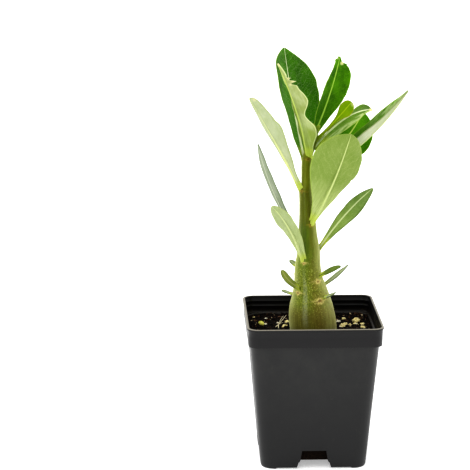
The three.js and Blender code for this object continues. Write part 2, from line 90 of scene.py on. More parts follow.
# Small roundings of the section: height over the edge and distance from the plain face
WALL_END = ((-0.6, 0), (-0.1, 0), (0, 0.3))
BAND_EDGE = ((0, 0.5), (0.12, 0.12), (0.5, 0))
LIP_EDGE = ((0, 0.3), (0.08, 0.08), (0.3, 0))
BAND_END = ((-0.3, 0), (0, 0.3))
LEDGE_BACK = ((0.6, 0), (0.15, 0.2))
LEDGE_FRONT = ((0, 0.2), (-0.3, 0))
INNER_RIDGES = (108, 104)
RIDGE = ((0.45, 0), (0.15, 0.25), (-0.15, 0.25), (-0.45, 0))

# Openings at the bottom of each wall: width below, width above, lower edge, upper edge
CUT_FROM = -1
OPENINGS = {
    "notch": (27, 23.4, CUT_FROM, FLOOR_UNDERSIDE + 0.1),
    "drain": (20.7, 18.2, 6.9, 14.6),
    "foot_gap": (BETWEEN_FEET, BETWEEN_FEET, CUT_FROM, FOOT_HEIGHT),
}

# Between a drain slot and the notch below it the floor's edge lies back from the wall
RECESS = (22.4, 20.2, FLOOR_UNDERSIDE, 7.4)
RECESS_DEPTH = 7

# Soil
SOIL_LEVEL = 98.2
SOIL_RELIEF = 0.7
SOIL_WAVES = {"broad_x": 5.3, "broad_y": 6.1, "fine_x": 2.9, "fine_y": 3.7, "fine_share": 0.5, "shift": 1}
LUMP_SIZE, LUMP_HEIGHT = 3.4, 0.55
SOIL_CELLS = 120
SOIL_GAP = 0.3
SOIL_SHARP_ANGLE = 60

# Stem: height, centre across, radius
STEM = (
    (50, 0.6, 1.6), (58, 0.8, 4.2), (70, 1.0, 9.0), (82, 1.2, 13.6), (92, 1.3, 16.4),
    (97, 1.3, 17.5), (101, 1.1, 18.0), (107, 0.6, 18.0), (113, 0.0, 17.4), (119, -0.4, 16.3),
    (126, -0.7, 14.2), (134, -1.5, 12.2), (139, -2.3, 10.9), (145, -3.0, 10.2), (151, -3.1, 9.6),
    (157, -2.7, 8.9), (164, -2.8, 8.2), (172, -3.2, 7.2), (181, -3.6, 6.5), (190, -4.0, 5.9),
    (200, -4.6, 5.3), (207, -5.0, 5.0), (211, -4.6, 4.1), (219, -4.6, 4.0), (229, -4.6, 3.9),
    (234, -3.9, 3.8), (239.5, -1.6, 3.4), (244, 0, 3.1), (250, 1.4, 2.3), (254, 2.0, 1.5),
)
# The skin starts at this row, inside the soil
SKIN_START = 2
STEM_SIDES = 112
STEM_STEP = 0.8
STEM_LOBES = (5, 0.012, 40)
DENT_DEPTH, DENT_WIDTH, DENT_HEIGHT = 0.12, 1.6, 14
STEM_VALUES = ("ring", "pit", "side", "shoot")
RING_SHARE, PIT_SHARE, SHOOT_SHARE = 0.85, 0.9, 0.7
SHOOT_HEIGHTS = (240, 252)
# The skin's brown side, and its pale flanks and streak that are painted light, are counted from a line turned
# a little out of the photograph's plane
SIDE_TURN = math.radians(18)

# Leaf scars on the stem: height, azimuth in degrees, half width. The stem is a little thicker below each.
SCARS = (
    (139, -56, 2.9), (130, -138, 2.8), (124.8, -66, 4.2), (153, -112, 1.8), (182, -62, 2.8),
    (207.5, -135, 2.4), (232, -85, 2.2), (133, 40, 2.2), (125, 140, 2.4), (116, 95, 2.6),
    (152, 70, 2.0), (142, 165, 2.0), (160, 10, 2.0), (188, 100, 1.8), (170, -150, 2.0), (196, 20, 1.6),
)
SCAR_STEP, SCAR_FADE, SCAR_TOP = 0.4, 5, 0.9
SCAR_REACH, SCAR_SPREAD, SCAR_BEND = 4, 1.5, 20
SCAR_RIM, SCAR_LINE = 0.35, (0.8, 0.2)
# The dry middle of a scar: its dent, and how far from it the dent, the brown and the pale ring reach
PIT_DEPTH, PIT_STRETCH, PIT_DROP = 0.4, 1.5, 0.5
PIT_DENT, PIT_BROWN, PIT_RING = (0.4, 0.1), (0.36, 0.12), (0.75, 0.3)
PIT_UNEVEN, PIT_GRAIN = 0.7, (1.1, 0.9)
# Only scars on the green stalk have a brown crease
CREASE_HEIGHTS = (165, 180)
CREASE_SHARE, CREASE_RISE, CREASE_LINE = 0.7, 0.7, (0.45, 0.15)

# Blades
BLADE_THICKNESS = 0.8
EDGE_THINNING = 0.55
SMALLEST_HALF_BLADE = 0.4
STALK_ROOT = 0.5
STALK_TAPER = 0.85
STALK_FLARE, FLARE_FADE = 0.55, 22
RIB_DEPTH, RIB_FADE, RIB_LEAST = 1.1, 1.5, 0.15
RIB_GROOVE = 0.3
RIB_LINE, RIB_LINE_LEAST, RIB_LINE_FADE = 0.42, 0.12, 0.9
WAVE_SHIFT = 1.5
WAVE_RISE, WAVE_LEAST = 4, 0.2
RIPPLE, RIPPLE_PITCH, RIPPLE_SHIFT = 0.25, 9, (2.3, 5)
MARGIN_UNEVEN, MARGIN_PITCH, MARGIN_SHIFT = 0.03, 14, (3.1, 0)
BOW = 0.07
NICK_RAMP = 0.008
WORN_FADE = (1.2, 0.5)
PAINTED_SHEEN_END = 0.9
RIB_SHARES = (0, 0.35, 0.7, 1)
BLADE_SHARES = (0.05, 0.13, 0.24, 0.37, 0.5, 0.63, 0.75, 0.86, 0.94, 1)
LEAF_ROWS = 96
SMALL_LEAF_ROWS = 20
# The pale value carries painted sheen on the upper side and painted shade on the underside.
BLADE_VALUES = ("across", "along", "rim", "rib", "worn", "pale", "petiole")
BLADE_SHARP_ANGLE = 55
LEAF_SEED_STEP = 11

# What leaves have in common where their own rows say nothing else
LEAF = dict(
    underside="matte", slot="leaf_under", wave=0.4, waves=2.5, stalk=1.6, petiole=(14, 7), rib=1,
    rib_end=0.86, torn=(1, 1), nicks=(), worn=())

# Large leaves. A half blade is its width, widest place, neck and point, and an edge is places and widths.
# Nicks are side, start, end and depth, and worn spots are place along, place across, radius and strength.
# Pale is a side and where across that half blade the painted sheen starts and ends; fading is where along the
# blade painted sheen grows towards the tip.
LEAVES = {
    "leaf_back_left": dict(
        look="deep", slot="leaf_green", height=228, azimuth=140, middle=(-14.6, 14, 271),
        tip=(-21, 22, 312.3), upper=(0.65, -0.75, 0.1), left=(15, 0.84, 1.0, 0.84),
        right=(22.5, 0.64, 0.95, 0.98), fold=(16, 16), wave=0.5, stalk=1.7, rib=1.4, rib_end=0.4),
    "leaf_curled": dict(
        look="deep", underside="curled", height=232.4, azimuth=-40, middle=(-12.2, -14, 268),
        tip=(-27.9, -20, 305.9), upper=(0.93, 0.35, 0.1),
        edge=((0, 0.6), (0.04, 1.8), (0.1, 4.1), (0.175, 6.4), (0.25, 9.4), (0.33, 12.4), (0.4, 12.8),
              (0.45, 8.2), (0.49, 6.2), (0.53, 7.6), (0.58, 11), (0.64, 14), (0.7, 13.4), (0.75, 10.6),
              (0.785, 9.6), (0.795, 5.4), (0.806, 4.2), (0.816, 9.2), (0.824, 11), (0.832, 4.2),
              (0.842, 2.2), (0.852, 6.6), (0.862, 2), (0.88, 2.6), (0.94, 1.8), (1, 0.4)),
        right=(5.4, 0.3, 0.8, 2), fold=(20, -8), wave=0.5, waves=3.2, stalk=1.8, pale=(1, 0.0, 0.1),
        worn=((0.82, -9, 2.4, 0.9), (0.8, -4.5, 1.2, 0.6), (0.85, -5, 1.6, 0.9), (0.99, 0, 2, 0.5))),
    "leaf_back_right": dict(
        look="glossy", slot="leaf_green", height=248.5, azimuth=120, middle=(12.6, 12, 277),
        tip=(20.8, 18, 305.9), upper=(0.5, -0.85, 0.1), left=(6.5, 0.36, 1.1, 1.1),
        right=(12.6, 0.72, 1.4, 0.8), fold=(12, 12), stalk=1.4, petiole=(8, 3), torn=(0.88, 1),
        nicks=((-1, 0.93, 0.965, -0.3), (-1, 0.965, 1.1, 0.3), (1, 0.935, 1.1, 0.6), (1, 0.905, 0.92, 0.1)),
        worn=((0.925, 3, 1.6, 0.9), (0.97, -1.5, 1, 0.4))),
    "leaf_young": dict(
        look="young", underside="young", slot="leaf_young", height=245, azimuth=-20,
        middle=(14.6, -8, 259.9), tip=(27.6, -12, 275.9), upper=(-0.3, -0.8, 0.5), left=(5, 0.82, 6, 0.5),
        right=(5.4, 0.82, 6, 0.5), fold=(5, 5), wave=0.3, waves=2, stalk=1.1,
        worn=((1.0, 2, 2.4, 0.35),)),
    "leaf_recurved": dict(
        look="streaked", slot="leaf_green", height=239.5, azimuth=-20, middle=(23.4, -6, 262.7),
        tip=(43.1, -9, 269.5), upper=(-0.3, -0.7, 0.7), left=(9.5, 0.8, 4, 0.9),
        right=(6.3, 0.48, 1.1, 1.2), fold=(-28, -28), stalk=1.4, rib=1.5, pale=(1, 0.34, 0.5),
        worn=((1.0, 0, 4, 0.9),)),
    "leaf_broad_right": dict(
        look="fresh", slot="leaf_green", height=225, azimuth=65, middle=(21.5, 17, 238.2),
        tip=(40, 29, 261.7), upper=(-0.05, -0.9, 0.4), left=(14, 0.64, 1.6, 0.66),
        right=(17, 0.66, 1.9, 0.66), fold=(5, 5), wave=0.5),
    "leaf_long_right": dict(
        look="fading", underside="long", slot="leaf_pale", height=219, azimuth=-12,
        middle=(38.6, 0, 244.8), tip=(70.2, -4, 283.1), upper=(-0.7, 0, 0.7),
        left=(11.4, 0.55, 1.4, 0.95), right=(8.4, 0.45, 1.2, 1.15), fold=(34, 44), wave=0.3,
        fading=(0.5, 0.9)),
    "leaf_front": dict(
        look="fresh", height=180.5, azimuth=-60, middle=(14, -18, 217.5), tip=(25.8, -26, 254.3),
        upper=(-0.35, 0.9, 0.1), left=(16.7, 0.66, 1.85, 0.69), right=(22.2, 0.71, 1.55, 0.62),
        fold=(6, 6), stalk=2, nicks=((-1, 0.515, 0.53, 0.06),)),
    "leaf_left_upper": dict(
        look="fresh", underside="pale", slot="leaf_pale", height=205.5, azimuth=-165,
        middle=(-26.2, -6, 241.8), tip=(-47.9, -10, 279), upper=(0.95, 0.25, 0.3),
        edge=((0, 0.6), (0.1, 0.9), (0.2, 1.9), (0.3, 3.8), (0.4, 5.6), (0.5, 8.4), (0.6, 11.6),
              (0.66, 12.8), (0.7, 12.2), (0.74, 10), (0.78, 9.2), (0.86, 8), (0.94, 6.4), (0.98, 4.6),
              (1, 2.2)),
        right=(12.5, 0.6, 1.5, 0.55), fold=(32, 1), stalk=1.7, rib=1.5, rib_end=0.3,
        worn=((0.98, -4, 2, 0.4),)),
    "leaf_left_narrow": dict(
        look="soft", underside="grey", height=168, azimuth=170, middle=(-27.5, 6, 202.5),
        tip=(-40.8, 10, 240.8), upper=(1, 0, 0.4), left=(7.4, 0.65, 1.2, 0.8),
        right=(6.5, 0.65, 1.2, 0.8), fold=(22, -22), wave=0.2, waves=2, stalk=1.2),
    "leaf_left_lower": dict(
        look="soft", underside="lower", slot="leaf_pale", height=149, azimuth=-120,
        middle=(-16.2, -14, 177.5), tip=(-31.5, -18, 199), upper=(0.6, 0.8, 0.2),
        left=(6.2, 0.67, 1.3, 0.7), right=(7.4, 0.7, 1.7, 0.6), fold=(4, 4), wave=0.3, stalk=1.9),
    "leaf_right_lower": dict(
        look="soft", height=155, azimuth=25, middle=(23, 8, 183), tip=(47.1, 14, 205.3),
        upper=(-0.6, -0.7, 0.4), left=(4.8, 0.66, 2.2, 0.8), right=(7.6, 0.62, 2.1, 0.8), fold=(4, 4),
        wave=0.3, petiole=(20, 13), pale=(1, 0.8, 0.95)),
}

# Small leaves: look, height, azimuth, middle, tip, the way the upper side faces, half blade
FIRST_LEAF = dict(LEAF, underside="grey", fold=(12, 12), wave=0.1, waves=1.5, stalk=0.8, petiole=(8.5, 7))
FIRST_LEAVES = (
    ("olive", 130, -135, (-18, -13.8, 140), (-23.8, -16, 149.4), (0.35, -0.8, 0.45), (2.3, 0.66, 1.1, 0.6)),
    ("first", 144, 130, (-12.6, 9.5, 147.3), (-16.2, 12, 150.2), (0.4, -0.6, 0.7), (1.7, 0.6, 1.2, 0.7)),
    ("first", 124, 165, (-17.5, 6.5, 125.6), (-22.5, 8, 127.3), (0.2, -0.2, 0.9), (1.5, 0.6, 1.2, 0.7)),
    ("narrow", 139, -45, (12.6, -9.8, 146.8), (21, -12, 150.8), (-0.4, -0.7, 0.6), (1.4, 0.6, 1.2, 0.7)),
    ("first", 129, 30, (18.8, 7.2, 138.2), (28.2, 8, 146.9), (-0.6, -0.4, 0.7), (1.7, 0.5, 1.2, 1.0)),
    ("first", 124, -50, (12.2, -14.5, 128.4), (16.9, -16.5, 131.9), (-0.4, -0.3, 0.9), (1.1, 0.4, 1.0, 1.2)),
)
BUD = dict(
    LEAF, underside="young", slot="stem_skin", fold=(24, 24), wave=0, waves=1, stalk=1.2, petiole=(2, 1))
BUDS = (
    ("young", 248, -110, (0.5, -4.5, 255), (-0.8, -6, 258.5), (0.9, 0.2, 0), (2.0, 0.6, 1.0, 0.8)),
    ("young", 249.5, -80, (3.5, -4.5, 254.6), (4.6, -5.5, 257.6), (-0.7, 0.6, 0.2), (1.8, 0.6, 1.0, 0.8)),
)

# Stones and prills in the soil: across, back, size, kind. The rest are strewn by a seeded draw.
PUMICE, PERLITE, PRILL, BARK = range(4)
STONES = (
    (-37.8, 17, 4.9, PRILL), (-41.6, 26, 2.6, BARK), (-33.3, 31.7, 2.2, PERLITE),
    (-34.2, 18.6, 2.2, PERLITE), (-16.9, 20.2, 4.2, PUMICE), (-19.6, 10.1, 4.0, PUMICE),
    (22.4, 18.8, 3.6, PERLITE), (24.3, 9.7, 5.0, PUMICE), (27.8, 30.4, 3.2, PUMICE),
    (27.6, 13.5, 3.6, PUMICE), (36.8, 24.7, 7.4, PUMICE), (35.6, 16.8, 4.2, PUMICE),
    (41.0, 15.7, 3.6, PUMICE), (40.0, 1.4, 4.2, PUMICE), (22.5, 7.6, 2.4, PERLITE),
)
STREWN = dict(count=18, seed=7, edge=6, clear=22, least=1.8, spread=3)
STREWN_KINDS = (PUMICE, PERLITE, BARK, PUMICE, PERLITE)
STONE_LEAST, STONE_STRETCH = 0.85, 0.3
STONE_SHAPE = dict(flatness=0.72, sink=0.06, lumps=0.75)
PRILL_SHAPE = dict(flatness=0.95, sink=-0.1, lumps=0.06)
STONE_LUMP_PITCH, STONE_LUMP_SHIFT = 2.1, 3.7
DRAW_FACTOR = 16807
DRAW_MODULUS = 2147483647

# Loose crumbs. Up to the first share they are peat and up to the second bark, and the rest is grit.
CRUMBS = 3600
CRUMB_SEED = 31
CRUMB_EDGE, CRUMB_CLEAR = 1.2, 0.4
CRUMB_SIZES = (0.45, 1.0)
CRUMB_COARSE, CRUMB_RARITY = 1.4, 4
CRUMB_STRETCH = ((0.8, 2.6), (0.6, 1.1), (0.4, 0.8))
CRUMB_TILT = 0.5
CRUMB_JITTER = (0.7, 1.25)
CRUMB_LIFT = 0.12
CRUMB_SHARES = (0.78, 0.965)

# Pale root strands on the soil, as the points that they run through
ROOTS = (
    ((-25, 2, 98.8), (-24, 10, 101.2), (-20.2, 24, 102.4)),
    ((-25.5, 9, 98.8), (-22.1, 13, 101.6), (-17.7, 26, 102.6)),
    ((-27, 6, 98.8), (-23.5, 12, 99.6), (-20.5, 17, 99.2)),
)
ROOT_SIDES, ROOT_STEPS = 8, 14
ROOT_RADIUS, ROOT_TAPER = 0.32, 0.6
ROOT_KNOTS, KNOT_PITCH = 0.2, 9

# Camera, as found from the edges of the pot in the photograph
CAMERA_PLACE = (-104.4, -1390.1, 492.7)
CAMERA_DOWN, CAMERA_TURN = 12.947, -1.89
FOCAL_PIXELS, PICTURE_PIXELS = 1886, 470
SENSOR_WIDTH = 36
CLIP_START, CLIP_END = 0.05, 20

# Suns: where the light comes from, strength, softness in degrees
SUNS = {
    "key_light": ((-0.7, -0.8, 1.1), 0.7, 70),
    "left_edge_light": ((-1, 0.45, 0.5), 0.5, 40),
    "right_edge_light": ((1, 0.45, 0.5), 0.6, 40),
}
SKY_STRENGTH = 0.66
FLOOR_REACH = 30000
FLOOR_GLOW = 0.3

# Colours are red, green and blue as seen on a screen, 0 to 255
# Upper sides: darker green, lighter green, midrib, margin, pale parts that are painted sheen, lower part that
# is partly painted light
LOOKS = {
    "deep": ((42, 94, 1), (70, 128, 6), (250, 255, 214), (150, 186, 40), (150, 176, 96), (92, 160, 6)),
    "glossy": ((44, 96, 0), (90, 152, 4), (176, 212, 92), (150, 192, 50), (150, 176, 96), (62, 110, 2)),
    "fresh": ((58, 116, 2), (88, 150, 6), (196, 216, 110), (164, 196, 60), (130, 176, 60), (70, 130, 4)),
    "streaked": ((40, 80, 2), (68, 112, 8), (234, 242, 200), (176, 200, 96), (188, 204, 140), (160, 198, 84)),
    "fading": ((62, 112, 8), (102, 152, 30), (206, 222, 120), (150, 180, 70), (166, 186, 128), (70, 124, 14)),
    "young": ((96, 136, 2), (130, 156, 10), (160, 182, 34), (150, 142, 40), (160, 170, 90), (120, 150, 8)),
    "soft": ((98, 126, 56), (124, 148, 84), (210, 220, 170), (80, 100, 44), (76, 100, 48), (162, 182, 100)),
    "olive": ((122, 134, 58), (148, 156, 88), (164, 168, 106), (74, 86, 30), (124, 140, 74), (118, 130, 50)),
    "narrow": ((100, 120, 58), (128, 144, 84), (112, 130, 64), (66, 84, 34), (124, 140, 74), (110, 128, 60)),
    "first": (
        (140, 152, 112), (174, 182, 150), (190, 196, 168), (96, 110, 66), (160, 176, 130), (130, 146, 86)),
}
# Undersides: darker green, lighter green, midrib, margin, lower part that is partly painted light
UNDERSIDES = {
    "matte": ((124, 146, 68), (143, 160, 90), (194, 206, 140), (160, 182, 82), (212, 222, 158)),
    "curled": ((128, 144, 62), (190, 196, 156), (188, 204, 108), (218, 226, 168), (148, 170, 62)),
    "pale": ((156, 168, 124), (186, 192, 164), (208, 214, 150), (156, 168, 108), (192, 198, 160)),
    "long": ((168, 178, 138), (204, 206, 186), (204, 212, 150), (120, 136, 74), (200, 206, 170)),
    "grey": ((126, 138, 112), (152, 159, 140), (190, 197, 172), (100, 114, 80), (150, 160, 130)),
    "lower": ((152, 166, 114), (178, 188, 148), (196, 205, 148), (168, 180, 120), (188, 200, 134)),
    "young": ((132, 156, 34), (156, 176, 60), (186, 198, 90), (170, 180, 70), (170, 186, 74)),
}
# Stones, crumbs and roots: darker tone, lighter tone, roughness, size of the grain, depth of the pits
STONE_LOOKS = {
    "pumice_stone": ((222, 196, 112), (255, 250, 204), 0.8, 0.7, 0.3),
    "perlite_grain": ((222, 214, 180), (254, 252, 236), 0.75, 0.5, 0.25),
    "fertiliser_prill": ((206, 206, 40), (250, 244, 150), 0.45, 0.9, 0.06),
    "bark_chip": ((84, 56, 40), (148, 112, 84), 0.85, 0.8, 0.3),
}
CRUMB_LOOKS = {
    "peat_crumb": ((7, 4, 3), (30, 20, 13), 0.85, 0.8, 0.2),
    "bark_fibre": ((44, 28, 16), (102, 70, 44), 0.85, 0.8, 0.2),
    "grit_speck": ((150, 132, 104), (206, 190, 158), 0.85, 0.8, 0.2),
}
ROOT_LOOK = ((226, 210, 164), (252, 246, 220), 0.6, 0.4, 0.05)
PETIOLE_UPPER, PETIOLE_UNDER = (186, 198, 80), (188, 202, 88)
WORN_UPPER, WORN_UNDER = (226, 224, 160), (228, 218, 168)

# Side veins of a blade: spacing, how far they lean to the tip, width
VEIN_SPACING, VEIN_SLANT, VEIN_WIDTH = 6.2, 0.66, 1.3
VEIN_CURVE, VEIN_WANDER = 1.18, 1.6
NET_SIZE = 1.4


# Nodes of a material

class Shader:
    """A material's node tree, with short calls for its nodes and a base colour that is laid on in coats."""

    def __init__(self, name):
        self.material = bpy.data.materials.new(name)
        self.material.use_nodes = True
        self.tree = self.material.node_tree
        self.surface = self.tree.nodes["Principled BSDF"]
        self.own = self.place()
        self.base = None

    def node(self, kind, links=None, **settings):
        made = self.tree.nodes.new(kind)
        for key, value in settings.items():
            setattr(made, key, value)
        for key, value in (links or {}).items():
            self.link(value, made.inputs[key])
        return made

    def link(self, value, socket):
        if isinstance(value, bpy.types.NodeSocket):
            self.tree.links.new(value, socket)
        else:
            socket.default_value = value

    def math(self, operation, a, b=0.0):
        return self.node("ShaderNodeMath", {0: a, 1: b}, operation=operation).outputs[0]

    def times(self, first, *others):
        for other in others:
            first = self.math("MULTIPLY", first, other)
        return first

    def fade(self, value, low, high, to_low=0.0, to_high=1.0):
        """A smooth change from to_low at low to to_high at high."""
        links = {"Value": value, "From Min": low, "From Max": high, "To Min": to_low, "To Max": to_high}
        return self.node("ShaderNodeMapRange", links, interpolation_type="SMOOTHSTEP").outputs["Result"]

    def mix(self, share, a, b):
        """Two colours mixed. Each is a node's colour, or red, green and blue."""
        made = self.node("ShaderNodeMix", data_type="RGBA")
        self.link(share, made.inputs[0])
        for index, colour in ((6, a), (7, b)):
            self.link(linear(*colour) if isinstance(colour, tuple) else colour, made.inputs[index])
        return made.outputs[2]

    def lay(self, colour, *shares):
        """Another coat over the base colour, as dense as its shares together."""
        self.base = self.mix(self.times(*shares), self.base, colour)

    def place(self, stretch=(1, 1, 1)):
        """The object's own coordinates in millimetres, stretched along the axes."""
        own = self.node("ShaderNodeTexCoord").outputs["Object"]
        scale = tuple(value / MM for value in stretch)
        return self.node("ShaderNodeVectorMath", {0: own, 1: scale}, operation="MULTIPLY").outputs[0]

    def height(self):
        return self.node("ShaderNodeSeparateXYZ", {0: self.own}).outputs["Z"]

    def lengthwise(self, stretch):
        """A place on a blade by its distance from the midrib and, stretched, from the blade's base."""
        links = {"X": self.value("across"), "Y": self.times(self.value("along"), stretch)}
        return self.node("ShaderNodeCombineXYZ", links).outputs["Vector"]

    def noise(self, size, detail=3.0, roughness=0.55, place=None):
        place = self.own if place is None else place
        links = {"Vector": place, "Scale": 1 / size, "Detail": detail, "Roughness": roughness}
        return self.node("ShaderNodeTexNoise", links).outputs["Fac"]

    def cells(self, size, feature="F1", place=None):
        links = {"Vector": self.own if place is None else place, "Scale": 1 / size}
        return self.node("ShaderNodeTexVoronoi", links, feature=feature).outputs["Distance"]

    def value(self, name):
        return self.node("ShaderNodeAttribute", attribute_name=name).outputs["Fac"]

    def bump(self, height, depth, strength=1.0, below=None):
        """Relief of a depth in millimetres, laid over what lies below."""
        links = {"Height": height, "Distance": depth * MM, "Strength": strength}
        if below is not None:
            links["Normal"] = below
        return self.node("ShaderNodeBump", links).outputs["Normal"]

    def finish(self, roughness, normal=None, **constants):
        self.link(self.base, self.surface.inputs["Base Color"])
        self.link(roughness, self.surface.inputs["Roughness"])
        if normal is not None:
            self.link(normal, self.surface.inputs["Normal"])
        for key, value in constants.items():
            self.surface.inputs[key.replace("_", " ")].default_value = value
        return self.material


def linear(*colour):
    """A colour as seen on a screen, 0 to 255, as linear light."""
    parts = (value / 255 for value in colour)
    return (*(part / 12.92 if part <= 0.04045 else ((part + 0.055) / 1.055) ** 2.4 for part in parts), 1.0)


def pot_material():
    """Satin black plastic, mottled and dusty, with soil stains inside. Painted light: the wall lighter
    towards the top, a pale rim and a pale inner ledge line as painted highlights (with some dust), and the
    inside near black as painted shade.
    """
    shader = Shader("black_nursery_plastic")
    height, inside = shader.height(), shader.value("inside")
    cloud = shader.noise(26, 4)
    shader.base = shader.mix(cloud, (24, 24, 25), (33, 33, 33))
    # The wall is painted lighter towards the top: painted light.
    painted_light_upper_wall = shader.mix(shader.fade(shader.noise(13, 5), 0.35, 0.7), (36, 36, 36), (43, 43, 42))
    shader.lay(painted_light_upper_wall, shader.fade(height, 20, 92))
    shader.lay((22, 21, 22), shader.fade(height, BAND_BOTTOM - 0.2, BAND_BOTTOM + 0.6))
    dust = shader.fade(shader.noise(5.5, 6, 0.7), 0.58, 0.8)
    shader.lay((66, 64, 58), dust, 0.25)
    # The pale rim along the lip's top edge is a painted highlight, with some dust.
    rim = shader.fade(height, POT_HEIGHT - 0.6, POT_HEIGHT - 0.2)
    shader.lay((160, 154, 140), rim, shader.fade(dust, 0, 1, 0.8, 1))
    # The whole inside is painted near black: painted shade.
    shader.lay((12, 10, 9), inside)
    # A pale line along the inner ledge: painted highlight and dust.
    over_ledge = shader.fade(height, LEDGE - 0.8, LEDGE - 0.4)
    under_ledge = shader.fade(height, LEDGE + 0.6, LEDGE + 0.1)
    shader.lay((56, 54, 50), inside, over_ledge, under_ledge)
    stains = shader.fade(shader.noise(2.4, 5, 0.7), 0.42, 0.62)
    shader.lay((44, 33, 24), inside, shader.fade(height, 106, 97), stains, 0.7)
    normal = shader.bump(shader.noise(0.55, 2), 0.03, 0.6)
    flow = shader.noise(3.2, 3, place=shader.place((1, 1, 0.12)))
    normal = shader.bump(flow, 0.08, 0.5, normal)
    return shader.finish(shader.fade(cloud, 0.3, 0.75, 0.34, 0.46), normal, Specular_IOR_Level=0.42)


def soil_material():
    shader = Shader("damp_potting_soil")
    fine = shader.noise(0.9, 6, 0.7)
    shader.base = shader.mix(shader.fade(fine, 0.35, 0.7), (8, 5, 3), (34, 23, 15))
    shader.lay((50, 34, 22), shader.fade(shader.noise(7, 4), 0.55, 0.8, 0, 0.4))
    return shader.finish(0.95, shader.bump(fine, 0.5, 0.9), Specular_IOR_Level=0.15)


def grain_material(name, dark, light, roughness, size, depth):
    """Peat, bark, stone and root: two tones in fine grain, with pits."""
    shader = Shader(name)
    grain = shader.noise(size, 5, 0.65)
    shader.base = shader.mix(shader.fade(grain, 0.3, 0.7), dark, light)
    shader.lay(dark, shader.fade(shader.noise(size * 5, 3), 0.5, 0.75, 0, 0.45))
    pits = shader.fade(shader.cells(size * 1.4), 0.05, 0.5)
    normal = shader.bump(shader.times(grain, pits), depth, 0.9)
    return shader.finish(roughness, normal, Specular_IOR_Level=0.25)


def stem_material():
    """Smooth skin: olive foot, speckled caudex with a brown blush, green stalk, scars and young shoot.
    Painted light: a pale highlight streak, lighter flanks and a lighter top of the stalk; painted shade
    darkens the foot inside the pot.
    """
    shader = Shader("succulent_stem_skin")
    height, side = shader.height(), shader.value("side")
    streaks = shader.noise(1.5, 4, 0.65, shader.place((1, 1, 0.09)))
    fibres = shader.fade(streaks, 0.3, 0.7)
    mottle = shader.noise(4.5, 5, 0.6)
    fine = shader.noise(1.1, 4, 0.6)
    speck = shader.fade(shader.cells(1.2, place=shader.place((1, 1, 0.75))), 0.36, 0.16)

    shader.base = shader.mix(fibres, (96, 92, 24), (122, 118, 48))
    swollen = shader.mix(shader.fade(fine, 0.35, 0.65), (84, 96, 12), (128, 138, 44))
    shader.lay(swollen, shader.fade(height, 112, 124))
    low_stalk = shader.mix(fibres, (76, 96, 2), (98, 118, 14))
    high_stalk = shader.mix(fibres, (80, 84, 0), (100, 108, 6))
    stalk = shader.mix(shader.fade(height, 178, 186), low_stalk, high_stalk)
    shader.lay(stalk, shader.fade(height, 136, 158))

    brown = shader.mix(shader.fade(height, 190, 120), (96, 84, 6), (118, 100, 40))
    blush = shader.times(shader.fade(side, 0.1, 0.55), shader.fade(mottle, 0.2, 0.6))
    shader.lay(brown, blush, shader.fade(height, 150, 122, 0.45, 0.6))
    # A narrow pale streak down the caudex is a painted highlight.
    painted_highlight_streak = shader.times(shader.fade(side, 0.14, 0.0), shader.fade(side, -0.24, -0.1))
    painted_highlight_streak = shader.times(painted_highlight_streak, shader.fade(height, 150, 132, 0.1, 0.5), shader.fade(height, 100, 112))
    shader.lay((160, 166, 134), painted_highlight_streak, shader.fade(fine, 0.35, 0.6, 0.3, 1))
    # The stalk above 205 mm is painted lighter: painted light where the leaves shade it.
    shader.lay((140, 146, 10), shader.fade(height, 205, 215, 0, 0.35))
    # Both flanks of the stem are painted lighter: painted light from the sides.
    painted_light_left_flank = shader.fade(side, -0.45, -0.95, 0, 0.62)
    painted_light_flanks = shader.math("ADD", painted_light_left_flank, shader.fade(side, 0.55, 0.95, 0, 0.38))
    shader.lay((184, 190, 112), painted_light_flanks, shader.fade(streaks, 0.3, 0.6, 0.4, 1))
    swelling = shader.times(shader.fade(height, 165, 140, 0.06, 0.8), shader.fade(height, 104, 122, 0.3, 1))
    shader.lay((172, 176, 84), speck, swelling)
    # The stem is painted darker down to the soil: painted shade inside the pot.
    shader.lay((46, 42, 10), shader.fade(height, 106, 98, 0, 0.45))

    on_stalk = shader.fade(height, 145, 175)
    ring = shader.times(shader.value("ring"), shader.fade(fine, 0.3, 0.55, 0.35, 1))
    shader.lay(shader.mix(on_stalk, (226, 208, 134), (158, 136, 50)), ring)
    pit = shader.mix(shader.fade(fine, 0.4, 0.6), (78, 54, 18), (138, 98, 44))
    shader.lay(shader.mix(on_stalk, pit, (84, 70, 12)), shader.value("pit"))
    shader.lay((148, 168, 40), shader.value("shoot"))

    normal = shader.bump(streaks, 0.25, 0.6)
    normal = shader.bump(speck, 0.1, 0.5, normal)
    roughness = shader.fade(mottle, 0.3, 0.7, 0.38, 0.52)
    sheen = dict(Sheen_Weight=0.8, Sheen_Roughness=0.48, Sheen_Tint=(0.95, 0.95, 0.5, 1))
    tint = (0.8, 0.9, 0.5, 1)
    return shader.finish(roughness, normal, Specular_IOR_Level=0.3, Specular_Tint=tint, **sheen)


def veins(shader):
    """Side veins that leave the midrib and curve towards the tip, from 0 between them to 1 on them."""
    across = shader.math("ABSOLUTE", shader.value("across"))
    bend = shader.times(shader.math("POWER", across, VEIN_CURVE), VEIN_SLANT)
    wander = shader.times(shader.noise(6, 3), VEIN_SPACING * VEIN_WANDER)
    way = shader.math("ADD", shader.math("SUBTRACT", shader.value("along"), bend), wander)
    crest = shader.math("COSINE", shader.times(way, 2 * math.pi / VEIN_SPACING))
    patchy = shader.fade(shader.noise(8, 2), 0.35, 0.65, 0.35, 1)
    return shader.times(shader.fade(crest, math.cos(math.pi * VEIN_WIDTH / VEIN_SPACING), 1.0), patchy)


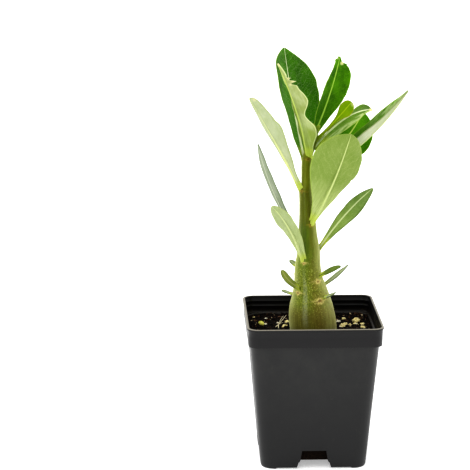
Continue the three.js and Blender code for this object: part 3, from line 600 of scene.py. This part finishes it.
def blade_patterns(shader):
    """What both sides of a blade share: midrib, side veins, fine net and margin."""
    across = shader.math("ABSOLUTE", shader.value("across"))
    rib = shader.fade(shader.math("SUBTRACT", across, shader.value("rib")), 0.28, -0.05)
    net = shader.fade(shader.cells(NET_SIZE, "DISTANCE_TO_EDGE"), 0.1, 0.02)
    margin = shader.fade(shader.value("rim"), 0.75, 0.15)
    return rib, veins(shader), net, margin


def upper_material(name, deep, bright, rib_colour, margin_colour, painted_sheen_colour, low_colour_and_painted_light):
    """The glossy upper side of a leaf, with painted sheen and painted light on its lower part."""
    shader = Shader(f"leaf_upper_{name}")
    rib, side, net, margin = blade_patterns(shader)
    fleck = shader.noise(1.3, 4, 0.65)
    shader.base = shader.mix(shader.fade(shader.noise(11, 4), 0.3, 0.7), deep, bright)
    shader.lay(bright, shader.fade(fleck, 0.48, 0.7, 0, 0.5))
    # The lower part of the blade is its own paler base, and painted light where shade falls near the stem.
    shader.lay(low_colour_and_painted_light, shader.fade(shader.value("along"), 60, 30, 0, 0.45))
    streaky = shader.fade(shader.noise(1.5, 3, place=shader.lengthwise(0.16)), 0.36, 0.56, 0.1, 1)
    # Painted sheen: the upper side lighter in streaks where the pale value says.
    shader.lay(painted_sheen_colour, shader.value("pale"), streaky)
    shader.lay(rib_colour, net, 0.08)
    shader.lay(rib_colour, side, 0.06)
    shader.lay(margin_colour, margin, 0.7)
    shader.lay(PETIOLE_UPPER, shader.value("petiole"), 0.8)
    shader.lay(rib_colour, rib, 0.92)
    shader.lay(WORN_UPPER, shader.value("worn"))
    normal = shader.bump(shader.math("SUBTRACT", 1.0, shader.times(side, 0.5)), 0.08, 0.6)
    normal = shader.bump(fleck, 0.06, 0.6, normal)
    roughness = shader.fade(fleck, 0.3, 0.7, 0.38, 0.52)
    return shader.finish(roughness, normal, Specular_IOR_Level=0.18, Specular_Tint=(0.7, 0.95, 0.3, 1))


def under_material(name, deep, bright, rib_colour, margin_colour, low_colour_and_painted_light):
    """The matte underside of a leaf, with painted shade where the upper side has painted sheen and painted
    light on its lower part.
    """
    shader = Shader(f"leaf_under_{name}")
    rib, side, net, margin = blade_patterns(shader)
    grain = shader.noise(0.7, 4, 0.6)
    shader.base = shader.mix(shader.fade(shader.noise(12, 4), 0.25, 0.75, 0.15, 0.85), deep, bright)
    shader.lay(bright, shader.fade(grain, 0.5, 0.8, 0, 0.22))
    # The lower part of the blade is its own paler base, and painted light where shade falls near the stem.
    shader.lay(low_colour_and_painted_light, shader.fade(shader.value("along"), 46, 12, 0, 0.6))
    shader.lay(rib_colour, net, 0.12)
    shader.lay(rib_colour, side, 0.15)
    # Painted shade: the underside darker where the upper side has painted sheen.
    shader.lay(deep, shader.value("pale"), 0.85)
    shader.lay(deep, shader.fade(shader.noise(1.6, 3, place=shader.lengthwise(0.12)), 0.42, 0.62, 0, 0.3))
    shader.lay(margin_colour, margin, 0.7)
    shader.lay(rib_colour, rib)
    shader.lay(PETIOLE_UNDER, shader.value("petiole"), 0.85)
    shader.lay(WORN_UNDER, shader.value("worn"), 0.8)
    normal = shader.bump(side, 0.1, 0.7)
    normal = shader.bump(grain, 0.05, 0.6, normal)
    return shader.finish(0.6, normal, Specular_IOR_Level=0.2, Specular_Tint=(0.8, 0.95, 0.6, 1))


# Meshes

def make_mesh(name, points, faces):
    """A mesh from points in millimetres."""
    mesh = bpy.data.meshes.new(name)
    mesh.from_pydata([at(*point) for point in points], [], faces)
    return mesh


def make_object(name, data):
    made = bpy.data.objects.new(name, data)
    bpy.context.scene.collection.objects.link(made)
    return made


def make_piece(name, points, faces, materials, replaces=None, face_materials=None, values=None,
               sharp_angle=None):
    """A smooth mesh piece, from points in millimetres, that rides with the pot."""
    mesh = make_mesh(name, points, faces)
    for material in materials:
        mesh.materials.append(material)
    mesh.polygons.foreach_set("use_smooth", [True] * len(mesh.polygons))
    if face_materials:
        mesh.polygons.foreach_set("material_index", face_materials)
    for key, numbers in (values or {}).items():
        layer = mesh.attributes.new(key, "FLOAT", "POINT")
        layer.data.foreach_set("value", numbers)
    mesh.update()
    if sharp_angle is not None:
        mesh.set_sharp_from_angle(angle=math.radians(sharp_angle))
    piece = make_object(name, mesh)
    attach(piece, "root")
    if replaces:
        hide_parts(replaces)
    return piece


def mix(a, b, share):
    return a + (b - a) * share


def smooth(low, high, value):
    part = min(1.0, max(0.0, (value - low) / (high - low)))
    return part * part * (3 - 2 * part)


def tube_faces(count, rings, start=0):
    """Faces between rings of as many points each, one ring after the other in the list of points."""
    faces = []
    for low in range(start, start + count * (rings - 1), count):
        for point in range(count):
            after = (point + 1) % count
            faces.append((low + point, low + after, low + count + after, low + count + point))
    return faces


def closed_rings(rings, first, last):
    """Points and faces of rings of equal count, closed by a fan at each end."""
    count = len(rings[0])
    points = [first] + [point for ring in rings for point in ring] + [last]
    end = len(points) - 1
    faces = tube_faces(count, len(rings), 1)
    for point in range(count):
        after = (point + 1) % count
        faces.append((0, 1 + after, 1 + point))
        faces.append((end, end - count + point, end - count + after))
    return points, faces


def on_curve(start, middle, end, t):
    """A place on a curve from start to end that passes through middle, and the curve's direction there."""
    control = 2 * middle - (start + end) / 2
    place = (1 - t) ** 2 * start + 2 * t * (1 - t) * control + t ** 2 * end
    return place, ((1 - t) * (control - start) + t * (end - control)).normalized()


def turned(a, b, angle):
    """Two coordinates after a turn."""
    return a * math.cos(angle) - b * math.sin(angle), a * math.sin(angle) + b * math.cos(angle)


# Pot

def rounded_square(width, corner, z):
    """A square with round corners, anticlockwise seen from above."""
    points = []
    inset = width / 2 - corner
    for side in range(4):
        start = math.radians(90 * side)
        middle = start + math.pi / 4
        centre_x = math.copysign(inset, math.cos(middle))
        centre_y = math.copysign(inset, math.sin(middle))
        for step in range(CORNER_STEPS + 1):
            angle = start + math.pi / 2 * step / CORNER_STEPS
            points.append((centre_x + corner * math.cos(angle), centre_y + corner * math.sin(angle), z))
        end_x, end_y = points[-1][:2]
        for step in range(1, SIDE_STEPS):
            way = 2 * inset * step / SIDE_STEPS
            points.append((end_x - way * math.cos(start), end_y - way * math.sin(start), z))
    return points


def pot_rings():
    """The pot's section as rings, outside from the floor's underside to the rim and inside to its top."""
    band_width = LIP_WIDTH - 2 * LIP_PROUD
    lip_bottom = POT_HEIGHT - LIP_DEPTH

    def wall(z, inset):
        rise = z / BAND_BOTTOM
        width = mix(WALL_BOTTOM_WIDTH, WALL_TOP_WIDTH, rise) - 2 * inset
        return rounded_square(width, mix(WALL_BOTTOM_CORNER, WALL_TOP_CORNER, rise) - inset, z)

    def band(z, inset):
        return rounded_square(band_width - 2 * inset, BAND_CORNER - inset, z)

    def lip(z, inset):
        return rounded_square(LIP_WIDTH - 2 * inset, LIP_CORNER - inset, z)

    bevel_in, bevel_up = BOTTOM_BEVEL
    rounding = []
    for step in range(ROUNDING_STEPS + 1):
        angle = math.pi / 2 * step / ROUNDING_STEPS
        rounding.append((1 - math.cos(angle), 1 - math.sin(angle)))
    rim = [band(POT_HEIGHT - LIP_ROUNDING * a, LIP_ROUNDING * (2 - b)) for a, b in rounding]

    outside = [wall(FLOOR_UNDERSIDE, WALL + SKIRT_DRAFT), wall(0, bevel_in + FOOT_WIDTH)]
    outside += [wall(bevel_up * a, bevel_in * b) for a, b in rounding]
    outside += [wall(z, 0) for z in WALL_HEIGHTS]
    outside += [wall(BAND_BOTTOM + up, -out) for up, out in WALL_END]
    outside += [band(BAND_BOTTOM + up, BAND_DRAFT + back) for up, back in BAND_EDGE]
    outside += [band(BAND_BOTTOM + BAND_MIDDLE, BAND_DRAFT / 2)]
    outside += [band(lip_bottom + up, -out) for up, out in BAND_END]
    outside += [lip(lip_bottom + up, back) for up, back in LIP_EDGE]
    outside += [lip(POT_HEIGHT - LIP_ROUNDING * b, LIP_ROUNDING * a) for a, b in rounding]
    outside += rim[:2]
    inside = rim[2:]
    inside += [band(z + up, WALL + out) for z in INNER_RIDGES for up, out in RIDGE]
    inside += [band(LEDGE + up, WALL + BAND_DRAFT + out) for up, out in LEDGE_BACK]
    inside += [wall(LEDGE + up, WALL - out) for up, out in LEDGE_FRONT]
    inside.append(wall(FLOOR_TOP, WALL))
    return outside, inside


def opening_cutters(name, below, above, low, high, start=-LIP_WIDTH / 2, end=LIP_WIDTH / 2):
    """Wedges into the pot along Y and along X, as objects that are deleted after the cut."""
    outline = [(-below / 2, low), (below / 2, low), (above / 2, high), (-above / 2, high)]
    points = [(x, y, z) for y in (start, end) for x, z in outline]
    faces = [(0, 1, 2, 3), (7, 6, 5, 4)] + [(i, i + 4, (i + 1) % 4 + 4, (i + 1) % 4) for i in range(4)]
    sideways = [(-y, x, z) for x, y, z in points]
    return [make_object(name, make_mesh(name, way, faces)) for way in (points, sideways)]


def modify(piece, kind, **settings):
    modifier = piece.modifiers.new(kind.lower(), kind)
    for key, value in settings.items():
        setattr(modifier, key, value)


def apply_modifiers(piece):
    """Bakes the piece's modifiers into its mesh."""
    graph = bpy.context.evaluated_depsgraph_get()
    shown = piece.evaluated_get(graph)
    mesh = bpy.data.meshes.new_from_object(shown, preserve_all_data_layers=True, depsgraph=graph)
    piece.modifiers.clear()
    piece.data = mesh


def build_pot():
    outside, inside = pot_rings()
    points, faces = closed_rings(outside + inside, (0, 0, FLOOR_UNDERSIDE), (0, 0, FLOOR_TOP))
    first_inside = 1 + len(outside) * len(outside[0])
    values = {"inside": [0.0] * first_inside + [1.0] * (len(points) - first_inside)}
    pot = make_piece("pot_shell", points, faces, [pot_material()], "pot", values=values)
    cutters = []
    for name, sizes in OPENINGS.items():
        cutters += opening_cutters(name, *sizes)
    reach, inner = LIP_WIDTH / 2, WALL_BOTTOM_WIDTH / 2 - RECESS_DEPTH
    for start, end in ((-reach, -inner), (inner, reach)):
        cutters += opening_cutters("recess", *RECESS, start, end)
    for cutter in cutters:
        modify(pot, "BOOLEAN", operation="DIFFERENCE", solver="EXACT", object=cutter)
    apply_modifiers(pot)
    for cutter in cutters:
        bpy.data.objects.remove(cutter)
    rounded_from = math.radians(ROUNDED_FROM)
    modify(pot, "BEVEL", width=CUT_ROUNDING * MM, segments=2, limit_method="ANGLE", angle_limit=rounded_from)
    apply_modifiers(pot)
    pot.data.set_sharp_from_angle(angle=math.radians(SHARP_FROM))


# Stem

def through(rows, place):
    """The other columns of rows at a place, along a smooth curve. The first column is the place."""
    last = len(rows) - 1
    index = next((i for i in range(1, last) if rows[i][0] >= place), last) - 1
    near = [rows[max(0, min(last, index + step))] for step in (-1, 0, 1, 2)]
    span = near[2][0] - near[1][0]
    part = (place - near[1][0]) / span
    square, cube = part ** 2, part ** 3
    result = []
    for before, low, high, after in list(zip(*near))[1:]:
        rise_low = (high - before) / max(near[2][0] - near[0][0], span) * span
        rise_high = (after - low) / max(near[3][0] - near[1][0], span) * span
        result.append((2 * cube - 3 * square + 1) * low + (cube - 2 * square + part) * rise_low
                      + (3 * square - 2 * cube) * high + (cube - square) * rise_high)
    return result


def stem_at(height):
    """Centre across and radius of the stem at a height."""
    return through(STEM, height)


def on_stem(height, azimuth, share):
    across, radius = stem_at(height)
    angle = math.radians(azimuth)
    return Vector((across + share * radius * math.cos(angle), share * radius * math.sin(angle), height))


def scar_relief(height, angle, radius):
    """How far the skin stands out at a place, and how much of it is a scar's rim and its dry middle."""
    lift, rim, pit = 0.0, 0.0, 0.0
    for scar_height, azimuth, size in SCARS:
        turn = (angle - math.radians(azimuth) + math.pi) % (2 * math.pi) - math.pi
        along, rise = turn * radius, height - scar_height
        if abs(rise) > SCAR_REACH * SCAR_FADE or abs(along) > SCAR_REACH * size:
            continue
        rise += along * along / (SCAR_BEND * size)
        spread = math.exp(-((along / (SCAR_SPREAD * size)) ** 2))
        step = math.exp(rise / SCAR_FADE) if rise < 0 else smooth(SCAR_TOP, 0, rise)
        line = smooth(*SCAR_LINE, abs(rise))
        grain = Vector((along / PIT_GRAIN[0], height / PIT_GRAIN[1], size))
        distance = math.hypot(along / PIT_STRETCH, rise + PIT_DROP) / size
        distance *= 1 + PIT_UNEVEN * noise.noise(grain)
        lift += spread * (SCAR_STEP * step + SCAR_RIM * line) - PIT_DEPTH * smooth(*PIT_DENT, distance)
        rim = max(rim, spread * max(line, smooth(*PIT_RING, distance)))
        crease = CREASE_SHARE * spread * smooth(*CREASE_LINE, abs(rise - CREASE_RISE))
        pit = max(pit, smooth(*PIT_BROWN, distance), crease * smooth(*CREASE_HEIGHTS, scar_height))
    return lift, rim, pit


def build_stem():
    values = {name: [0.0] for name in STEM_VALUES}
    rows = STEM[SKIN_START:]
    low, high = rows[0][0], rows[-1][0]
    steps = round((high - low) / STEM_STEP)
    lobes, depth, turn_height = STEM_LOBES
    rings = []
    for step in range(steps + 1):
        height = mix(low, high, step / steps)
        across, radius = stem_at(height)
        ring = []
        for side in range(STEM_SIDES):
            angle = 2 * math.pi * side / STEM_SIDES
            grow = 1 + depth * math.sin(lobes * angle + height / turn_height)
            around = (math.cos(angle) * DENT_WIDTH, math.sin(angle) * DENT_WIDTH)
            dents = noise.noise(Vector((*around, height / DENT_HEIGHT)))
            lift, rim, pit = scar_relief(height, angle, radius)
            reach = radius * grow + DENT_DEPTH * dents + lift
            ring.append((across + reach * math.cos(angle), reach * math.sin(angle), height))
            shoot = SHOOT_SHARE * smooth(*SHOOT_HEIGHTS, height)
            marks = (RING_SHARE * rim, PIT_SHARE * pit, math.cos(angle + SIDE_TURN), shoot)
            for name, mark in zip(STEM_VALUES, marks):
                values[name].append(mark)
        rings.append(ring)
    for name, mark in zip(STEM_VALUES, (0.0, 0.0, 0.0, 1.0)):
        values[name].append(mark)
    points, faces = closed_rings(rings, (rows[0][1], 0, low - 1), (rows[-1][1], 0, high + 1))
    make_piece("stem_skin", points, faces, [stem_material()], "stem", values=values)


# Leaves

def half_blade(shape, t):
    width, widest, neck, point = shape
    part = t / widest if t < widest else (1 - t) / (1 - widest)
    power = neck if t < widest else point
    return width * math.sin(math.pi / 2 * max(part, 0) ** power) + SMALLEST_HALF_BLADE


def nick(leaf, side, t):
    """How much of the half blade is left where its margin is torn, notched or bulges."""
    left = 1.0
    for where, start, end, depth in leaf["nicks"]:
        if where == side:
            left -= depth * (smooth(start - NICK_RAMP, start + NICK_RAMP, t)
                             - smooth(end - NICK_RAMP, end + NICK_RAMP, t))
    return left


def half_width(leaf, side, t):
    """Width of one half of the blade, from its own rows or from its shape and its nicks."""
    if side < 0 and "edge" in leaf:
        return max(SMALLEST_HALF_BLADE, through(leaf["edge"], t)[0])
    part = 0 if side < 0 else 1
    return half_blade(leaf[("left", "right")[part]], t * leaf["torn"][part]) * nick(leaf, side, t)


def blade_noise(way, side, seed, shift):
    """Noise along a blade that differs between its halves and between leaves."""
    return noise.noise(Vector((way, side * shift[0], seed + shift[1])))


def blade_point(leaf, t, side, rib_share, blade_share, stalk, seed):
    """Distance from the midrib, width of the half blade, shift sideways and height over the plane."""
    turn = 2 * math.pi * leaf["waves"] * t
    full = half_width(leaf, side, t)
    uneven = MARGIN_UNEVEN * blade_noise(t * MARGIN_PITCH, side, seed, MARGIN_SHIFT)
    reach = stalk * rib_share + blade_share * full * (1 + uneven)
    calm = min(1, WAVE_RISE * min(t, 1 - t) + WAVE_LEAST) * blade_share ** 2
    wave = leaf["wave"] * calm * math.sin(turn + (WAVE_SHIFT if side < 0 else 0))
    ripple = RIPPLE * leaf["stalk"] * calm * blade_noise(t * RIPPLE_PITCH, side, seed, RIPPLE_SHIFT)
    bow = -BOW * full * 4 * blade_share * (1 - blade_share)
    fold = math.radians(leaf["fold"][0 if side < 0 else 1])
    return reach, full, side * reach * math.cos(fold), reach * math.sin(fold) + wave + ripple + bow


def worn_share(leaf, t, across, length):
    """How dry or torn the blade is at a place."""
    share = 0.0
    for place, offset, radius, strength in leaf["worn"]:
        distance = math.hypot(across - offset, (t - place) * length) / radius
        share = max(share, strength * smooth(*WORN_FADE, distance))
    return share


def painted_sheen_share(leaf, t, side, blade_share):
    """How much painted sheen lies on the upper side at a place, on one half's outer part or towards the tip.
    The underside is painted darker there, as painted shade.
    """
    share = 0.0
    if "pale" in leaf and leaf["pale"][0] == side:
        share = smooth(*leaf["pale"][1:], blade_share) * smooth(1, PAINTED_SHEEN_END, t)
    if "fading" in leaf:
        share = max(share, smooth(*leaf["fading"], t))
    return share


def blade_grid(leaf, rows, seed):
    """Points of a closed blade, its faces, the material of each, and the values that its look reads."""
    base = on_stem(leaf["height"], leaf["azimuth"], STALK_ROOT)
    tip, middle = Vector(leaf["tip"]), Vector(leaf["middle"])
    length = (middle - base).length + (tip - middle).length
    columns = [(-1, 1, share) for share in reversed(BLADE_SHARES)]
    columns += [(-1, share, 0) for share in reversed(RIB_SHARES[1:])]
    columns += [(1, share, 0) for share in RIB_SHARES]
    columns += [(1, 1, share) for share in BLADE_SHARES]
    points, values = [], {name: [] for name in BLADE_VALUES}
    for row in range(rows + 1):
        part = row / rows
        t = (part + math.sin(math.pi / 2 * part)) / 2
        point, direction = on_curve(base, middle, tip, t)
        facing = Vector(leaf["upper"])
        facing = (facing - facing.dot(direction) * direction).normalized()
        sideways = direction.cross(facing)
        stalk = leaf["stalk"] * (1 - STALK_TAPER * t + STALK_FLARE * (1 - t) ** FLARE_FADE)
        depth = leaf["stalk"] * (RIB_DEPTH * (1 - t) ** RIB_FADE + RIB_LEAST)
        groove = RIB_GROOVE * leaf["stalk"] * (1 - t)
        fading = 1 - RIB_LINE_FADE * smooth(leaf["rib_end"], 1, t)
        rib_line = leaf["rib"] * (RIB_LINE * stalk + RIB_LINE_LEAST) * fading
        petiole = smooth(*leaf["petiole"], t * length)
        upper, lower, marks = [], [], []
        for side, rib_share, blade_share in columns:
            reach, full, shift, lift = blade_point(leaf, t, side, rib_share, blade_share, stalk, seed)
            dome = math.sqrt(max(0.0, 1 - rib_share ** 2)) if blade_share == 0 else 0.0
            thick = BLADE_THICKNESS / 2 * (1 - EDGE_THINNING * blade_share ** 5)
            centre = point + shift * sideways + lift * facing
            upper.append(centre + (thick - groove * dome) * facing)
            lower.append(centre - (thick + depth * dome) * facing)
            rim = (1 - blade_share) * full + (0 if blade_share else 1)
            worn = worn_share(leaf, t, side * reach, length)
            # Painted sheen on the upper side, painted shade on the underside.
            pale = painted_sheen_share(leaf, t, side, blade_share)
            marks.append((side * reach, t * length, rim, rib_line, worn, pale, petiole))
        points += upper + lower[::-1]
        for name, numbers in zip(BLADE_VALUES, zip(*(marks + marks[::-1]))):
            values[name] += numbers

    count = 2 * len(columns)
    faces = tube_faces(count, rows + 1)
    above = len(columns) - 1
    face_materials = ([0] * above + [1] * (count - above)) * rows
    end = count * rows
    for column in range(above):
        opposite = count - 1 - column
        faces.append((opposite, opposite - 1, column + 1, column))
        faces.append((end + column, end + column + 1, end + opposite - 1, end + opposite))
        face_materials += [1, 1]
    return points, faces, face_materials, values


def small_leaf(shared, look, height, azimuth, middle, tip, upper, half):
    """A small leaf with two like halves, from a row of its table and what its kind has in common."""
    return dict(shared, look=look, height=height, azimuth=azimuth, middle=middle, tip=tip, upper=upper,
                left=half, right=half)


def build_leaves():
    uppers = {name: upper_material(name, *look) for name, look in LOOKS.items()}
    unders = {name: under_material(name, *look) for name, look in UNDERSIDES.items()}

    def build(name, leaf, rows, seed, replaces=None):
        points, faces, face_materials, values = blade_grid(leaf, rows, seed)
        materials = [uppers[leaf["look"]], unders[leaf["underside"]]]
        make_piece(name, points, faces, materials, replaces, face_materials, values,
                   BLADE_SHARP_ANGLE)

    seed = 0
    for name, leaf in LEAVES.items():
        seed += LEAF_SEED_STEP
        build(f"{name}_blade", {**LEAF, **leaf}, LEAF_ROWS, seed, name)
    for number, row in enumerate(FIRST_LEAVES, 1):
        seed += LEAF_SEED_STEP
        name = f"caudex_leaf_{number}"
        build(f"{name}_blade", small_leaf(FIRST_LEAF, *row), SMALL_LEAF_ROWS, seed, name)
    for number, row in enumerate(BUDS, 1):
        build(f"shoot_leaf_{number}", small_leaf(BUD, *row), SMALL_LEAF_ROWS, seed + number)


# Soil

def soil_height(x, y):
    waves = SOIL_WAVES
    broad = math.sin(x / waves["broad_x"] + waves["shift"]) * math.cos(y / waves["broad_y"])
    fine = math.sin(x / waves["fine_x"] + y / waves["fine_y"])
    return SOIL_LEVEL + SOIL_RELIEF * (broad + waves["fine_share"] * fine)


def rough_soil(x, y):
    """The soil's height with its crumbs."""
    lumps = noise.fractal(Vector((x / LUMP_SIZE, y / LUMP_SIZE, 1)), 1, 2, 3)
    return soil_height(x, y) + LUMP_HEIGHT * lumps


def soil_half_width():
    return mix(WALL_BOTTOM_WIDTH, WALL_TOP_WIDTH, SOIL_LEVEL / BAND_BOTTOM) / 2 - WALL - SOIL_GAP


def into_pot(x, y, half, corner):
    """Moves a point of a square into the same square with round corners."""
    inner = half - corner
    over_x, over_y = max(0.0, abs(x) - inner) / corner, max(0.0, abs(y) - inner) / corner
    if over_x > 0 and over_y > 0:
        round_x = over_x * math.sqrt(1 - over_y ** 2 / 2)
        round_y = over_y * math.sqrt(1 - over_x ** 2 / 2)
        return math.copysign(inner + corner * round_x, x), math.copysign(inner + corner * round_y, y)
    return x, y


def build_soil():
    half = soil_half_width()
    count = SOIL_CELLS + 1
    points = []
    for row in range(count):
        for column in range(count):
            x = mix(-half, half, column / SOIL_CELLS)
            y = mix(-half, half, row / SOIL_CELLS)
            x, y = into_pot(x, y, half, WALL_TOP_CORNER - WALL)
            points.append((x, y, rough_soil(x, y)))
    faces = [(r * count + c, r * count + c + 1, (r + 1) * count + c + 1, (r + 1) * count + c)
             for r in range(SOIL_CELLS) for c in range(SOIL_CELLS)]
    border = list(range(count))
    border += [r * count + SOIL_CELLS for r in range(1, count)]
    border += [SOIL_CELLS * count + c for c in reversed(range(SOIL_CELLS))]
    border += [r * count for r in reversed(range(1, SOIL_CELLS))]
    shrink = (WALL_BOTTOM_WIDTH + 2 * SOIL_GAP) / WALL_TOP_WIDTH
    start = len(points)
    points += [(points[i][0] * shrink, points[i][1] * shrink, FLOOR_TOP + SOIL_GAP) for i in border]
    total = len(border)
    for index in range(total):
        after = (index + 1) % total
        faces.append((border[after], border[index], start + index, start + after))
    faces.append(tuple(start + index for index in reversed(range(total))))
    materials = [soil_material()]
    make_piece("soil_bed", points, faces, materials, "soil", sharp_angle=SOIL_SHARP_ANGLE)


def icosphere():
    """Points and faces of an icosahedron of radius 1."""
    golden = (1 + math.sqrt(5)) / 2
    points = []
    for a, b in ((-1, golden), (1, golden), (-1, -golden), (1, -golden)):
        points += [(a, b, 0), (0, a, b), (b, 0, a)]
    points = [Vector(point).normalized() for point in points]
    side = min((points[0] - other).length for other in points[1:])
    corners = range(len(points))
    near = [{j for j in corners if j != i and (points[i] - points[j]).length < side * 1.1} for i in corners]
    faces = []
    for i in corners:
        for j in near[i]:
            for k in near[i] & near[j]:
                if i < j < k:
                    outward = (points[j] - points[i]).cross(points[k] - points[i]).dot(points[i]) > 0
                    faces.append((i, j, k) if outward else (i, k, j))
    return points, faces


def split(points, faces):
    """Each triangle in four, with the new points on the sphere."""
    points = list(points)
    halves = {}

    def half(i, j):
        key = (min(i, j), max(i, j))
        if key not in halves:
            halves[key] = len(points)
            points.append(((points[i] + points[j]) / 2).normalized())
        return halves[key]

    made = []
    for a, b, c in faces:
        ab, bc, ca = half(a, b), half(b, c), half(c, a)
        made += [(a, ab, ca), (ab, b, bc), (ca, bc, c), (ab, bc, ca)]
    return points, made


def lehmer(seed):
    """The seeded draw of the part's source."""
    state = seed
    while True:
        state = state * DRAW_FACTOR % DRAW_MODULUS
        yield state / DRAW_MODULUS


def strewn_stones(draw):
    reach = WALL_TOP_WIDTH / 2 - STREWN["edge"]
    stones = []
    while len(stones) < STREWN["count"]:
        x, y = reach * (2 * next(draw) - 1), reach * (2 * next(draw) - 1)
        size = STREWN["least"] + STREWN["spread"] * next(draw) ** 2
        if math.hypot(x, y) > STREWN["clear"]:
            stones.append((x, y, size, STREWN_KINDS[len(stones) % len(STREWN_KINDS)]))
    return stones


def make_grains(name, grains, shape, looks):
    """One piece of many grains. Each has its own points and look, and all share the faces of one shape."""
    points, faces, kinds = [], [], []
    for own_points, kind in grains:
        faces += [tuple(len(points) + index for index in face) for face in shape]
        kinds += [kind] * len(shape)
        points += own_points
    materials = [grain_material(look, *values) for look, values in looks.items()]
    make_piece(name, points, faces, materials, face_materials=kinds)


def build_stones():
    sphere, faces = split(*split(*icosphere()))
    draw = lehmer(STREWN["seed"])
    grains = []
    for number, (x, y, size, kind) in enumerate((*STONES, *strewn_stones(draw))):
        stretch_x = STONE_LEAST + STONE_STRETCH * next(draw)
        stretch_y = STONE_LEAST + STONE_STRETCH * next(draw)
        turn = math.pi * next(draw)
        shape = PRILL_SHAPE if kind == PRILL else STONE_SHAPE
        centre = Vector((x, y, soil_height(x, y) - shape["sink"] * size))
        points = []
        for point in sphere:
            lumps = noise.noise(point * STONE_LUMP_PITCH + Vector((number * STONE_LUMP_SHIFT, 0, 0)))
            local = point * (1 + shape["lumps"] * lumps) * size / 2
            level = turned(local.x * stretch_x, local.y * stretch_y, turn)
            points.append(centre + Vector((*level, local.z * shape["flatness"])))
        grains.append((points, kind))
    make_grains("soil_stones", grains, faces, STONE_LOOKS)


def build_crumbs():
    """Loose peat, bark fibres and specks of grit on the soil."""
    draw = random.Random(CRUMB_SEED)
    sphere, faces = icosphere()
    half = soil_half_width() - CRUMB_EDGE
    _, stem_across, stem_radius = max(STEM, key=lambda row: row[2])
    peat_share, bark_share = CRUMB_SHARES
    grains = []
    while len(grains) < CRUMBS:
        x, y = draw.uniform(-half, half), draw.uniform(-half, half)
        clear = math.hypot(x - stem_across, y) > stem_radius + CRUMB_CLEAR
        x, y = into_pot(x, y, half, WALL_TOP_CORNER - WALL)
        pick = draw.random()
        size = draw.uniform(*CRUMB_SIZES) * (1 + CRUMB_COARSE * draw.random() ** CRUMB_RARITY)
        stretch = Vector([draw.uniform(*limits) for limits in CRUMB_STRETCH]) * size / 2
        turn, tilt = draw.uniform(0, math.pi), draw.uniform(-CRUMB_TILT, CRUMB_TILT)
        jitter = [draw.uniform(*CRUMB_JITTER) for _ in sphere]
        if not clear:
            continue
        centre = Vector((x, y, rough_soil(x, y) + CRUMB_LIFT * size))
        points = []
        for point, swell in zip(sphere, jitter):
            local = point * stretch * swell
            out, up = turned(local.x, local.z, tilt)
            points.append(centre + Vector((*turned(out, local.y, turn), up)))
        grains.append((points, 0 if pick < peat_share else 1 if pick < bark_share else 2))
    make_grains("soil_crumbs", grains, faces, CRUMB_LOOKS)


def build_roots():
    """Thin pale strands, as bent tubes with tapered ends."""
    points, faces = [], []
    for strand in ROOTS:
        low, middle, high = (Vector(point) for point in strand)
        start = len(points)
        for step in range(ROOT_STEPS + 1):
            t = step / ROOT_STEPS
            point, direction = on_curve(low, middle, high, t)
            side = direction.cross(Vector((0, 0, 1))).normalized()
            up = side.cross(direction)
            thin = ROOT_RADIUS * (1 - ROOT_TAPER * t) * (1 + ROOT_KNOTS * math.sin(KNOT_PITCH * t))
            for corner in range(ROOT_SIDES):
                angle = 2 * math.pi * corner / ROOT_SIDES
                points.append(point + thin * (math.cos(angle) * side + math.sin(angle) * up))
        faces += tube_faces(ROOT_SIDES, ROOT_STEPS + 1, start)
        faces.append(tuple(reversed(range(start, start + ROOT_SIDES))))
        faces.append(tuple(range(len(points) - ROOT_SIDES, len(points))))
    material = grain_material("pale_root", *ROOT_LOOK)
    make_piece("root_strands", points, faces, [material])


# Stage

def add_floor():
    corners = [(x * FLOOR_REACH, y * FLOOR_REACH, 0) for x, y in ((-1, -1), (1, -1), (1, 1), (-1, 1))]
    mesh = make_mesh("studio_floor", corners, [(0, 1, 2, 3)])
    floor = make_object("studio_floor", mesh)
    shader = Shader("pale_paper")
    shader.base = shader.mix(shader.fade(shader.noise(2.5, 3), 0.3, 0.7), (246, 246, 246), (250, 250, 250))
    mesh.materials.append(shader.finish(
        0.9, Specular_IOR_Level=0.1, Emission_Color=(1, 1, 1, 1), Emission_Strength=FLOOR_GLOW))


def add_suns():
    """Even light from three sides, as from large softboxes."""
    for name, (come_from, strength, softness) in SUNS.items():
        light = bpy.data.lights.new(name, "SUN")
        light.energy = strength
        light.angle = math.radians(softness)
        made = make_object(name, light)
        made.rotation_euler = Vector(come_from).to_track_quat("Z", "Y").to_euler()


def add_camera():
    camera = bpy.data.cameras.new("photo_camera")
    camera.sensor_width = SENSOR_WIDTH
    camera.lens = FOCAL_PIXELS / PICTURE_PIXELS * SENSOR_WIDTH
    camera.clip_start = CLIP_START
    camera.clip_end = CLIP_END
    made = make_object("photo_camera", camera)
    made.location = at(*CAMERA_PLACE)
    made.rotation_euler = (math.radians(90 - CAMERA_DOWN), 0, math.radians(CAMERA_TURN))
    bpy.context.scene.camera = made


def add_world():
    world = bpy.data.worlds.new("white_studio")
    world.use_nodes = True
    sky = world.node_tree.nodes["Background"]
    sky.inputs["Color"].default_value = (1, 1, 1, 1)
    sky.inputs["Strength"].default_value = SKY_STRENGTH
    scene = bpy.context.scene
    scene.world = world
    scene.view_settings.view_transform = "Standard"
    scene.view_settings.look = "High Contrast"


build_pot()
build_soil()
build_stones()
build_crumbs()
build_roots()
build_stem()
build_leaves()
add_floor()
add_world()
add_suns()
add_camera()
